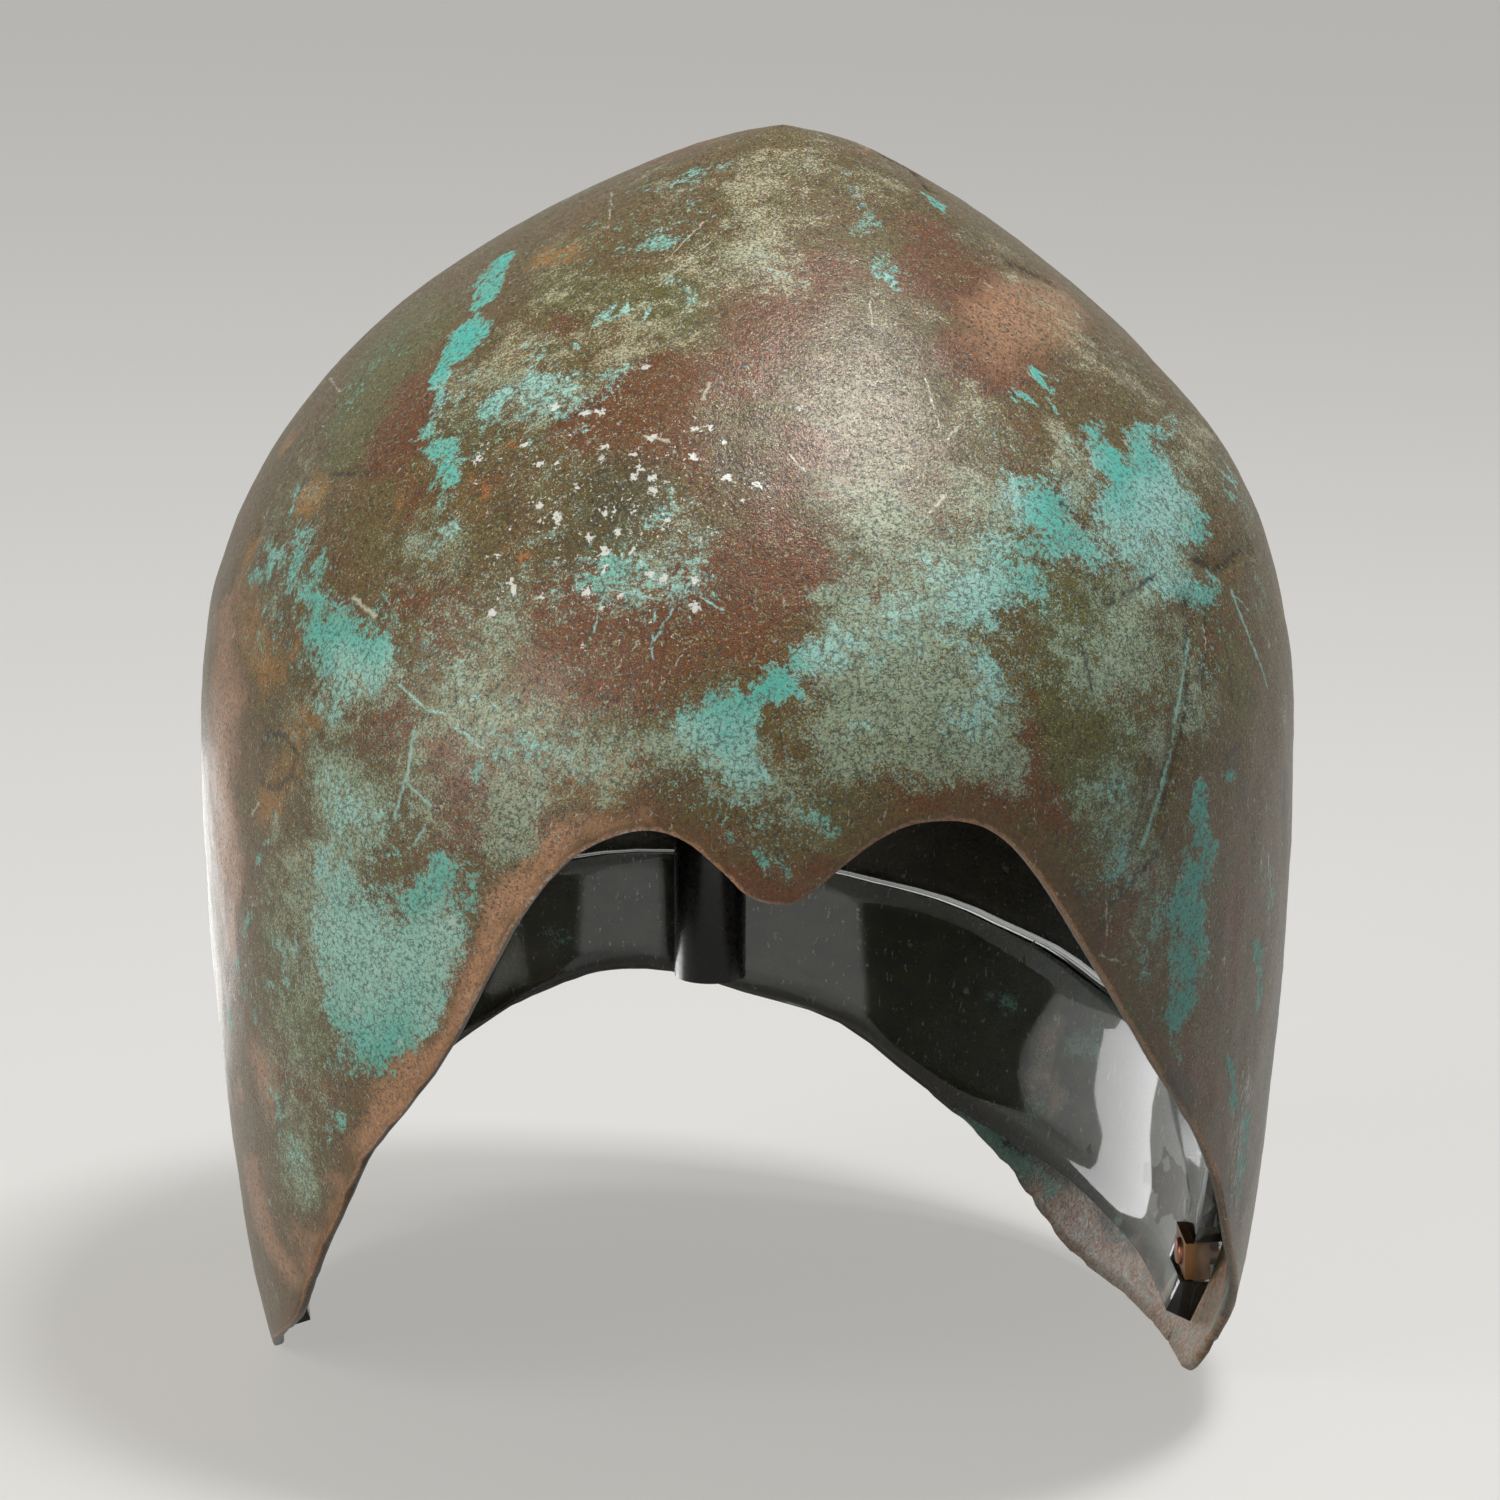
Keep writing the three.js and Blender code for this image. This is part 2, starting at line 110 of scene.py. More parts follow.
def linear(red, green, blue):
    """Scene colour of a paint given by its 0 to 255 screen values."""
    shares = (value / 255 for value in (red, green, blue))
    return tuple(((share + 0.055) / 1.055) ** 2.4 if share > 0.0393 else share / 12.92 for share in shares)


def colour_property(name, about, red, green, blue):
    paint = linear(red, green, blue)
    return FloatVectorProperty(
        name=name, description=about, default=paint, subtype="COLOR", size=3, min=0, max=1
    )


def length_property(name, about, length, precision=3):
    return FloatProperty(name=name, description=about, default=length, unit="LENGTH", precision=precision)


def share_property(name, about, share):
    return FloatProperty(name=name, description=about, default=share, subtype="FACTOR", min=0, max=1)


def angle_property(name, about, degrees):
    return FloatProperty(name=name, description=about, default=math.radians(degrees), subtype="ANGLE")


def power_property(name, about, watts):
    return FloatProperty(name=name, description=about, default=watts, unit="POWER")


class BronzeShellSettings(bpy.types.PropertyGroup):
    """Sizes and colours of the bronze bowl."""

    hammer_depth: length_property("Hammer depth", "Depth of the shallow hammer marks", 0.28 * MM, 5)
    edge_wear: length_property("Edge wear", "How far the rim of the flaps is eaten away", 0.5 * MM, 5)
    pit_depth: length_property("Pit depth", "Depth of the corrosion pits", 0.07 * MM, 5)
    grain_height: length_property("Grain height", "Height of the finest crust grains", 0.045 * MM, 6)
    subdivisions: IntProperty(
        name="Subdivisions", description="Smoothing levels of the skin", default=2, min=1, max=2
    )
    sheen_roughness: share_property("Sheen roughness", "Roughness of the bare metal", 0.3)
    metal_share: share_property("Metal share", "How metallic the bare metal looks", 0.1)
    brown: colour_property("Brown", "Bare brown bronze", 98, 64, 29)
    red_brown: colour_property("Red brown", "Reddish oxide on the bronze", 102, 56, 20)
    olive: colour_property("Olive", "Olive brown patina", 90, 86, 38)
    gold: colour_property("Gold", "Golden brown of thin patina", 162, 112, 46)
    tan: colour_property("Tan", "Rubbed copper coloured metal", 178, 134, 98)
    pale: colour_property("Pale", "Cream speckle", 192, 186, 150)
    grey_green: colour_property("Grey green", "Pale grey-green speckle", 162, 182, 154)
    ice: colour_property("Ice", "Palest blue-green crust", 164, 212, 200)
    teal: colour_property("Teal", "Blue-green corrosion", 124, 188, 170)
    bright_teal: colour_property("Bright teal", "Freshest blue-green corrosion", 78, 190, 176)
    cream: colour_property("Cream specks", "Sparse light specks on the metal", 206, 188, 138)
    moss: colour_property("Moss", "Fine green grains all over the bronze", 142, 148, 98)
    chalk: colour_property("Chalk", "White chips of lime", 222, 222, 214)
    # Umber is also painted shade: inside the bowl, on the right side and along the creases.
    umber: colour_property("Umber", "Dark crust in the shadowed hollows", 26, 21, 14)
    orange: colour_property("Orange", "Small orange rust flecks", 172, 106, 54)


class ClearLinerSettings(bpy.types.PropertyGroup):
    """Look of the clear liner."""

    tint: colour_property("Tint", "Faint tint of the clear sheet", 244, 249, 248)
    roughness: share_property("Roughness", "Blur of the polished faces", 0.03)
    edge_round: length_property("Edge round", "Width of the polished edges", 0.5 * MM, 5)


class RodSettings(bpy.types.PropertyGroup):
    """Look of the black upright and its screws."""

    black: colour_property("Black", "Gloss paint of the upright", 12, 12, 13)
    steel: colour_property("Steel", "Bare steel of the screws", 150, 150, 148)
    roughness: share_property("Roughness", "Roughness of the gloss paint", 0.22)


class FasteningSettings(bpy.types.PropertyGroup):
    """Look of the cheek blocks and pins."""

    brass: colour_property("Brass", "Machined brass of the blocks", 146, 104, 68)
    copper: colour_property("Copper", "Copper colour of the pins", 186, 132, 108)
    edge_round: length_property("Edge round", "Width of the broken edges of the blocks", 0.3 * MM, 5)


class StageSettings(bpy.types.PropertyGroup):
    """Camera, lamps and floor."""

    view_turn: angle_property("View turn", "Turn of the camera about the helmet", 4)
    view_height: angle_property("View height", "Camera angle above level", 15)
    view_distance: length_property("View distance", "Distance from camera to helmet", 1.2)
    key_power: power_property("Key power", "Power of the main lamp", 16.0)
    fill_power: power_property("Fill power", "Power of the left lamp", 15.0)
    side_power: power_property("Side power", "Power of the lamp above the right", 3.5)
    glint_light: FloatProperty(
        name="Glint light", description="Strength of the card that shines in the liner", default=4.5
    )
    world_light: FloatProperty(
        name="World light", description="Strength of the light all round", default=0.09
    )
    floor_colour: colour_property("Floor", "Colour of the plain floor", 226, 224, 220)


class HelmetSettings(bpy.types.PropertyGroup):
    """All settings of the helmet scene."""

    shell: PointerProperty(type=BronzeShellSettings)
    liner: PointerProperty(type=ClearLinerSettings)
    rod: PointerProperty(type=RodSettings)
    fastening: PointerProperty(type=FasteningSettings)
    stage: PointerProperty(type=StageSettings)


def settings():
    return bpy.context.scene.helmet_settings


def camera_frame():
    """Camera centre and its right, up and back directions in the standing pose."""
    stage = settings().stage
    turn, height = stage.view_turn, stage.view_height
    back = Vector((-math.sin(turn) * math.cos(height), -math.cos(turn) * math.cos(height), math.sin(height)))
    right = (-back).cross(Vector((0, 0, 1))).normalized()
    up = right.cross(-back)
    centre = rest(VIEW_TARGET + back * stage.view_distance)
    return centre, LEAN @ right, LEAN @ up, LEAN @ back


def pixel_ray(x, y):
    """Camera centre and direction of the ray through a pixel of the photograph."""
    centre, right, up, back = camera_frame()
    reach = PIXELS_PER_MM / MM * settings().stage.view_distance
    away = right * ((x - PHOTO_MIDDLE) / reach) + up * ((PHOTO_MIDDLE - y) / reach) - back
    return centre, away.normalized()


def surface_tree(bm):
    """Tree that finds where rays meet a bmesh, which is freed."""
    tree = BVHTree.FromBMesh(bm)
    bm.free()
    return tree


def finished_tree(mesh):
    bm = bmesh.new()
    bm.from_mesh(mesh)
    return surface_tree(bm)


def point_at(tree, x, y, step=4.0):
    """Point of the surface seen at a pixel, or nearer to the photograph's middle if the pixel misses it."""
    for _ in range(PHOTO_MIDDLE):
        hit = tree.ray_cast(*pixel_ray(x, y))[0]
        if hit is not None:
            return hit
        aim = Vector((PHOTO_MIDDLE - x, PHOTO_MIDDLE - y)).normalized() * step
        x, y = x + aim.x, y + aim.y
    raise RuntimeError("no surface is seen near that pixel")


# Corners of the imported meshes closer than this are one, and flat triangles become quads below these turns
MERGE_DISTANCE = 0.001 * MM
QUAD_FACE_TURN = math.radians(30)
QUAD_SHAPE_TURN = math.radians(60)


def cad_copy(node):
    """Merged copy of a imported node's mesh."""
    bm = bmesh.new()
    bm.from_mesh(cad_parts[node].data)
    bmesh.ops.remove_doubles(bm, verts=bm.verts, dist=MERGE_DISTANCE)
    bmesh.ops.dissolve_degenerate(bm, edges=bm.edges, dist=MERGE_DISTANCE)
    return bm


def new_piece(name, bm, body, material, smooth=True):
    """Object that holds a bmesh, rides on a body and takes a material."""
    mesh = bpy.data.meshes.new(name)
    bm.to_mesh(mesh)
    bm.free()
    for polygon in mesh.polygons:
        polygon.use_smooth = smooth
    piece = bpy.data.objects.new(name, mesh)
    bpy.context.scene.collection.objects.link(piece)
    mesh.materials.append(material)
    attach(piece, body)
    return piece


def mark_sharp(bm, limit):
    """Keeps edges crisp where the faces turn by more than the limit."""
    for edge in bm.edges:
        edge.smooth = len(edge.link_faces) == 2 and edge.calc_face_angle(0) < limit


class Nodes:
    """Short way to add nodes to a material, or to the world, and link them."""

    def __init__(self, owner):
        owner.use_nodes = True
        self.tree = owner.node_tree
        self.tree.nodes.clear()

    def add(self, kind, values=None, **settings_of_node):
        node = self.tree.nodes.new(kind)
        for key, value in settings_of_node.items():
            setattr(node, key, value)
        for key, value in (values or {}).items():
            socket = node.inputs[key]
            if isinstance(value, bpy.types.NodeSocket):
                self.tree.links.new(value, socket)
            elif socket.type == "RGBA" and len(value) == 3:
                socket.default_value = (*value, 1)
            else:
                socket.default_value = value
        return node

    def math(self, operation, a, b=0.0, c=0.0):
        return self.add("ShaderNodeMath", {0: a, 1: b, 2: c}, operation=operation).outputs[0]

    def clamped(self, value):
        """The value kept from 0 to 1. A node's own clamp is worked out late and makes the shader too big."""
        return self.add("ShaderNodeClamp", {"Value": value}).outputs[0]

    def vector(self, operation, a, b=(0, 0, 0), c=(0, 0, 0)):
        values = {0: a, 1: b, 2: c} if operation != "SCALE" else {0: a, 3: b}
        node = self.add("ShaderNodeVectorMath", values, operation=operation)
        return node.outputs[1] if operation in ("LENGTH", "DOT_PRODUCT", "DISTANCE") else node.outputs[0]

    def noise(self, place, scale, detail=2.0, roughness=0.5, distortion=0.0):
        values = {"Vector": place, "Scale": scale, "Detail": detail, "Roughness": roughness}
        return self.add("ShaderNodeTexNoise", {**values, "Distortion": distortion}).outputs[0]

    def stray(self, place, scale, reach):
        """How far a noise pushes each place about, up to half the reach each way."""
        cloud = self.add("ShaderNodeTexNoise", {"Vector": place, "Scale": scale, "Detail": 3.0})
        return self.vector("SCALE", self.vector("SUBTRACT", cloud.outputs["Color"], (0.5, 0.5, 0.5)), reach)

    def spread(self, value, low, high):
        """The value stretched so that low becomes 0 and high becomes 1."""
        values = {"Value": value, "From Min": low, "From Max": high}
        return self.clamped(self.add("ShaderNodeMapRange", values, clamp=False).outputs[0])

    def smooth(self, value, low, high):
        """The value eased from 0 at low to 1 at high."""
        values = {"Value": value, "From Min": low, "From Max": high}
        node = self.add("ShaderNodeMapRange", values, clamp=False, interpolation_type="SMOOTHSTEP")
        return node.outputs[0]

    def cover(self, amount, grain, crispness):
        """1 where the grain, from 0 to 1, is under the amount, with an edge of the given crispness."""
        short = self.math("SUBTRACT", amount, grain)
        return self.clamped(self.math("MULTIPLY_ADD", short, crispness, 0.5))

    def mix(self, share, a, b, blend="MIX"):
        node = self.tree.nodes.new("ShaderNodeMix")
        node.data_type = "RGBA"
        node.blend_type = blend
        for index, value in ((0, share), (6, a), (7, b)):
            socket = node.inputs[index]
            if isinstance(value, bpy.types.NodeSocket):
                self.tree.links.new(value, socket)
            elif index and len(value) == 3:
                socket.default_value = (*value, 1)
            else:
                socket.default_value = value
        return node.outputs[2]

    def attribute(self, name):
        return self.add("ShaderNodeAttribute", attribute_name=name).outputs["Fac"]

    def place(self):
        """Object coordinates in millimetres."""
        return self.vector("SCALE", self.add("ShaderNodeTexCoord").outputs["Object"], 1 / MM)

    def seen_by_eye(self):
        """1 for what the camera sees, also in a gloss or through glass, and 0 for bounced light."""
        path = self.add("ShaderNodeLightPath").outputs
        mirrored = self.math("MAXIMUM", path["Is Glossy Ray"], path["Is Transmission Ray"])
        return self.math("MAXIMUM", path["Is Camera Ray"], mirrored)

    def finish(self, shader):
        self.add("ShaderNodeOutputMaterial", {"Surface": shader})


# A stroke fades out this many times its radius from its middle, and reaches further away from the eye
STROKE_FADE = 2.0
DEPTH_SHARE = 0.4

# Two sizes of noise, in waves per millimetre and millimetres, give the strokes their ragged edges
WARP_WIDE_SCALE = 0.11
WARP_WIDE_MM = 3.8
WARP_NARROW_SCALE = 0.42
WARP_NARROW_MM = 2.3
WARP_SHIFT = Vector((4.0, 1.5, -2.4))
NOISE_SEED = 7

# Patina of the bowl, placed on the photograph. Each stroke is a strength, then one or more stops of
# x, y and radius in pixels that it runs through.
TEAL_STROKES = [
    # The long streak left of the brow, and its branches
    (1.0, 505, 256, 8, 490, 280, 13, 478, 302, 11, 470, 320, 10, 462, 338, 14, 451, 354, 9, 446, 374, 7,
     441, 397, 4),
    (0.4, 490, 262, 26, 462, 290, 20),
    (0.75, 433, 414, 5, 438, 442, 8, 446, 470, 14, 452, 490, 14, 449, 505, 9),
    (0.6, 421, 438, 4, 410, 462, 5, 398, 482, 8, 391, 496, 6), (0.75, 446, 528, 6, 430, 546, 10),
    (0.45, 420, 530, 8, 385, 538, 8), (0.45, 385, 590, 15), (0.35, 430, 632, 9),
    # The strokes from 600, 183 and from 448, 272, along the upper left edge, are blue-green crust and partly
    # painted rim light.
    (0.6, 600, 183, 9, 540, 214, 8, 492, 242, 6), (0.35, 448, 272, 14, 428, 292, 12),
    (0.7, 590, 320, 9, 606, 317, 9, 624, 309, 8), (0.85, 588, 339, 5), (0.45, 620, 365, 14),
    (0.4, 655, 360, 9), (0.75, 646, 312, 5), (0.5, 668, 282, 9, 694, 300, 12),
    (0.55, 520, 352, 6, 526, 376, 7), (0.35, 546, 362, 26), (0.5, 506, 392, 8, 484, 414, 9),
    (0.45, 570, 386, 20, 610, 380, 16), (0.35, 535, 402, 22), (0.5, 700, 172, 9, 722, 170, 9),
    (0.4, 650, 184, 16, 686, 186, 16), (0.45, 648, 250, 16, 672, 244, 10), (0.45, 738, 380, 12),
    (0.7, 546, 524, 7), (0.6, 606, 530, 5), (0.6, 656, 498, 5, 655, 524, 6), (0.65, 691, 552, 9),
    (0.5, 552, 596, 7), (0.4, 592, 570, 8), (0.4, 705, 530, 16, 728, 524, 8),
    (0.35, 640, 580, 30, 700, 590, 26), (0.3, 450, 450, 40), (0.3, 500, 560, 40, 600, 575, 34),
    # Left side
    (0.5, 268, 500, 9, 262, 532, 11, 254, 572, 11, 258, 604, 8),
    (0.75, 274, 538, 6, 276, 560, 6, 262, 581, 8), (0.5, 294, 498, 8, 288, 522, 9),
    (0.6, 300, 538, 8, 298, 580, 10, 306, 606, 8), (0.45, 238, 556, 5, 238, 600, 5),
    (0.6, 320, 568, 6, 314, 600, 8, 326, 626, 11, 340, 650, 14), (0.3, 345, 505, 14),
    (0.65, 330, 660, 28, 356, 668, 24, 320, 700, 15), (0.55, 368, 640, 20, 378, 668, 12),
    (0.45, 345, 610, 16), (0.65, 294, 712, 8, 284, 727, 6), (0.5, 265, 725, 9),
    (0.6, 330, 716, 8, 322, 744, 5), (0.5, 235, 745, 7), (0.5, 325, 782, 22, 345, 815, 24),
    (0.75, 322, 868, 20, 336, 890, 17), (0.5, 303, 876, 11), (0.8, 336, 934, 28),
    (0.9, 368, 944, 36, 402, 960, 34), (0.8, 432, 952, 24), (0.8, 352, 982, 26),
    (0.85, 398, 1000, 34, 436, 1002, 15), (0.65, 378, 1032, 38), (0.7, 350, 1022, 20),
    (0.6, 372, 1062, 24), (0.5, 410, 1042, 20), (0.75, 430, 886, 18), (0.6, 472, 900, 24),
    (0.6, 420, 908, 26), (0.4, 452, 936, 20), (0.6, 262, 818, 5, 255, 862, 6, 250, 904, 5, 247, 950, 5),
    (0.5, 282, 958, 18, 276, 985, 12), (0.65, 225, 1010, 15, 232, 1042, 9),
    (0.65, 234, 955, 6, 242, 990, 7, 262, 1020, 5), (0.65, 264, 1092, 8, 276, 1112, 8),
    (0.5, 244, 1118, 8, 256, 1142, 8), (0.6, 286, 1140, 18, 292, 1160, 14),
    (0.55, 330, 1106, 10, 326, 1142, 11), (0.5, 336, 1068, 14), (0.6, 346, 1166, 9),
    (0.45, 222, 1060, 6, 226, 1090, 6), (0.35, 300, 1190, 30), (0.5, 268, 1296, 8, 274, 1322, 7),
    # Middle
    (0.7, 720, 726, 38), (0.9, 742, 736, 15), (0.9, 758, 708, 15, 786, 704, 9), (0.85, 748, 768, 15),
    (0.6, 700, 716, 18), (0.78, 770, 668, 20, 800, 660, 18, 838, 668, 11), (0.5, 858, 640, 16),
    (0.6, 764, 692, 12), (0.4, 714, 836, 13), (0.5, 737, 850, 9), (0.6, 818, 820, 13, 836, 836, 11),
    (0.5, 804, 814, 8), (0.65, 762, 864, 7, 786, 886, 7), (0.6, 870, 725, 9), (0.55, 985, 674, 15),
    (0.35, 985, 722, 18), (0.3, 660, 690, 26, 600, 700, 16), (0.35, 480, 750, 30, 560, 770, 24),
    # Thin cover over the left half and the brow
    (0.42, 300, 560, 50, 330, 640, 50), (0.4, 260, 640, 30), (0.38, 420, 640, 50, 520, 720, 50),
    (0.42, 380, 840, 60), (0.36, 560, 440, 60, 480, 380, 50), (0.34, 640, 560, 60),
    (0.34, 560, 250, 50, 700, 220, 50), (0.36, 900, 620, 90), (0.36, 1040, 560, 70),
    (0.34, 620, 780, 50, 760, 820, 50), (0.36, 1000, 720, 60), (0.4, 1130, 900, 40, 1110, 800, 40),
    (0.34, 300, 1040, 50), (0.36, 270, 920, 30), (0.4, 330, 420, 40, 400, 340, 40),
    (0.35, 1200, 700, 40, 1220, 620, 30),
    # Crown and upper right
    (0.55, 850, 186, 14, 868, 226, 12), (0.65, 878, 262, 14, 886, 284, 11),
    (0.9, 934, 202, 8, 939, 216, 5), (0.35, 770, 268, 20), (0.3, 820, 150, 20),
    (0.97, 1028, 371, 8, 1050, 382, 9, 1057, 398, 8), (0.95, 1018, 392, 8, 1026, 403, 6),
    (0.8, 1070, 437, 10), (0.85, 1096, 425, 13, 1104, 455, 12),
    (0.97, 1112, 468, 20, 1130, 500, 26, 1120, 520, 18), (0.9, 1152, 480, 30),
    (0.65, 1140, 446, 12, 1160, 424, 14), (0.5, 1166, 388, 8, 1172, 405, 9),
    (0.7, 1165, 512, 26, 1160, 552, 30), (0.75, 1200, 532, 22, 1206, 548, 15),
    (0.7, 1180, 592, 22, 1206, 585, 15), (0.75, 1214, 474, 8, 1221, 504, 10, 1232, 522, 8),
    (0.75, 1030, 500, 22, 1046, 520, 20), (0.5, 1004, 486, 12), (0.6, 1075, 540, 18, 1102, 550, 15),
    (0.5, 1010, 570, 36), (0.55, 970, 600, 28), (0.45, 1040, 600, 18), (0.45, 930, 560, 15),
    (0.45, 1250, 596, 12), (0.45, 1125, 560, 24), (0.4, 1060, 480, 30), (0.4, 990, 430, 16),
    (0.35, 1100, 350, 16, 1140, 380, 14), (0.3, 900, 620, 40),
    # Right cheek
    (0.4, 1110, 726, 15), (0.5, 1115, 870, 15), (0.4, 1132, 855, 11), (0.9, 1231, 780, 9),
    (0.8, 1200, 800, 14, 1206, 832, 20, 1196, 862, 22, 1190, 902, 24, 1196, 940, 22, 1186, 980, 20,
     1180, 1022, 16, 1186, 1052, 10),
    (0.5, 1170, 905, 16), (0.45, 1150, 950, 22, 1140, 980, 16), (0.5, 1216, 1070, 10),
    (0.9, 1231, 1060, 7, 1232, 1112, 8), (0.8, 1256, 940, 8, 1263, 985, 12, 1258, 1012, 8),
    (0.75, 1246, 1120, 10, 1240, 1195, 9), (0.6, 1266, 866, 8, 1273, 922, 8),
    (0.35, 1285, 700, 8, 1285, 800, 8), (0.4, 1080, 880, 12, 1090, 930, 10), (0.4, 1120, 790, 14),
]
PALE_STROKES = [
    (0.4, 300, 480, 50, 270, 600, 40), (0.4, 300, 720, 50), (0.42, 420, 690, 60, 520, 760, 60),
    (0.5, 300, 900, 60, 290, 1100, 50), (0.4, 600, 340, 60, 520, 420, 60), (0.24, 620, 620, 70),
    (0.45, 1160, 700, 60, 1120, 850, 50), (0.4, 1060, 640, 60),
    (0.5, 640, 176, 22, 700, 190, 20, 752, 176, 26), (0.72, 736, 256, 42), (0.58, 690, 276, 30),
    (0.55, 650, 226, 22), (0.62, 756, 214, 26), (0.5, 540, 290, 32, 600, 286, 32),
    (0.55, 650, 322, 32, 692, 332, 26), (0.52, 640, 346, 24), (0.55, 505, 332, 22, 500, 376, 26),
    (0.5, 470, 382, 20), (0.4, 452, 400, 24), (0.5, 560, 372, 36), (0.3, 380, 440, 28),
    # The stroke from 345, 360 to 300, 420, along the upper left edge, is pale crust and partly painted rim
    # light.
    (0.35, 345, 360, 10, 300, 420, 8), (0.45, 520, 590, 44), (0.45, 680, 570, 44), (0.4, 430, 570, 44),
    (0.35, 485, 620, 30), (0.45, 430, 535, 34), (0.35, 560, 480, 40), (0.35, 640, 500, 40),
    (0.66, 770, 166, 34, 812, 156, 24, 832, 174, 15), (0.72, 876, 180, 24, 902, 196, 17),
    (0.62, 790, 226, 42), (0.72, 782, 270, 24), (0.6, 880, 286, 18), (0.62, 935, 315, 19),
    (0.45, 880, 318, 18), (0.55, 980, 402, 28), (0.55, 1000, 440, 22),
    (0.92, 1058, 430, 20, 1070, 468, 24, 1080, 500, 18), (0.72, 975, 490, 32), (0.6, 1002, 508, 24),
    (0.78, 880, 522, 42, 922, 532, 30), (0.55, 850, 562, 24), (0.62, 838, 596, 24),
    (0.72, 940, 602, 46), (0.78, 880, 634, 42), (0.55, 980, 560, 32), (0.62, 1130, 630, 42),
    (0.72, 1190, 450, 42), (0.62, 1170, 500, 30), (0.62, 1090, 362, 36, 1132, 392, 26),
    (0.52, 1000, 250, 30), (0.62, 1060, 312, 32), (0.85, 1024, 287, 11), (0.6, 960, 232, 16),
    # The wide stroke at 860, 420 is a painted highlight: pale speckle under the key lamp's highlight, to
    # whiten its sheen.
    (0.5, 860, 420, 90), (0.8, 1150, 560, 50), (0.5, 1230, 500, 20, 1256, 600, 16), (0.5, 472, 692, 26),
    (0.58, 600, 760, 36, 650, 750, 34), (0.62, 682, 740, 26), (0.66, 500, 822, 28, 530, 806, 24),
    (0.6, 510, 852, 24), (0.45, 432, 838, 30), (0.92, 332, 786, 30, 352, 812, 30, 344, 850, 26),
    (0.62, 318, 925, 26), (0.8, 296, 1176, 34), (0.62, 446, 946, 26), (0.5, 275, 826, 15),
    (0.55, 430, 1022, 22), (0.62, 730, 764, 36), (0.4, 400, 780, 40), (0.7, 380, 960, 60),
    (0.6, 350, 690, 34), (0.24, 540, 700, 40), (0.4, 300, 870, 24), (0.82, 880, 690, 52, 950, 702, 50),
    (0.62, 990, 742, 34), (0.52, 930, 762, 34), (0.66, 850, 760, 32), (0.72, 1000, 786, 20),
    (0.62, 1110, 670, 36), (0.6, 772, 778, 28), (0.45, 800, 830, 40), (0.35, 1100, 800, 40),
    (0.35, 1190, 660, 20, 1200, 720, 20), (0.4, 1150, 880, 30, 1160, 960, 30), (0.45, 820, 700, 30),
]
RED_STROKES = [
    (0.95, 420, 390, 25, 400, 430, 27, 386, 466, 22), (0.8, 411, 490, 14, 416, 512, 12),
    (0.85, 555, 322, 18), (0.95, 600, 412, 36, 652, 400, 36), (0.8, 570, 442, 24), (0.75, 642, 432, 26),
    (0.95, 700, 376, 36, 742, 366, 26), (0.65, 690, 462, 26, 690, 492, 22), (0.65, 745, 545, 32),
    (0.9, 660, 160, 13, 722, 138, 9), (0.5, 600, 200, 15, 560, 216, 12), (0.65, 705, 198, 13),
    (0.85, 650, 622, 52, 560, 622, 42), (0.75, 450, 612, 36), (0.65, 402, 602, 24),
    (0.85, 720, 602, 44), (0.95, 339, 605, 15), (0.75, 250, 482, 14, 240, 522, 12, 234, 550, 8),
    (0.55, 330, 560, 16), (0.7, 800, 266, 42, 842, 272, 26), (0.7, 770, 322, 42),
    (0.75, 930, 232, 32, 960, 272, 40), (0.85, 910, 272, 22), (0.8, 1000, 322, 44),
    (0.65, 1030, 346, 24), (0.7, 960, 350, 20), (0.85, 980, 372, 27, 1010, 370, 14),
    (0.85, 1022, 426, 13), (0.65, 990, 450, 15), (0.95, 1038, 397, 6), (0.95, 1088, 470, 7),
    (0.75, 1085, 500, 5), (0.75, 1110, 446, 6), (0.6, 790, 472, 38),
    (0.95, 780, 552, 32, 790, 592, 34, 765, 602, 30), (0.75, 870, 576, 28), (0.55, 945, 520, 15),
    (0.85, 1016, 620, 8), (0.65, 380, 722, 36), (0.55, 430, 742, 34), (0.55, 480, 792, 42),
    (0.65, 450, 832, 34), (0.55, 540, 832, 24), (0.85, 440, 970, 14, 470, 962, 17), (0.8, 375, 996, 8),
    (0.7, 340, 946, 5), (0.7, 392, 1026, 5), (0.75, 600, 672, 62), (0.6, 640, 796, 36),
    (0.85, 750, 658, 14), (0.6, 730, 876, 26, 780, 890, 20), (0.9, 1042, 696, 11),
    (0.8, 1032, 746, 15, 1020, 800, 28), (0.5, 975, 786, 26), (0.45, 900, 800, 32, 942, 806, 30),
    (0.5, 920, 750, 26), (0.75, 1120, 710, 17), (0.75, 1066, 780, 12, 1062, 822, 14),
    (0.9, 1148, 868, 15, 1130, 900, 14, 1110, 932, 12), (0.5, 1186, 768, 22),
    (0.85, 1241, 868, 15, 1236, 950, 14, 1230, 1012, 12), (0.75, 1200, 1060, 16, 1211, 1102, 14),
    (0.6, 270, 1062, 26, 300, 1084, 24), (0.5, 500, 480, 24), (0.3, 860, 420, 80), (0.6, 320, 450, 14),
    (0.6, 1215, 640, 20), (0.6, 860, 880, 14, 820, 870, 18),
]
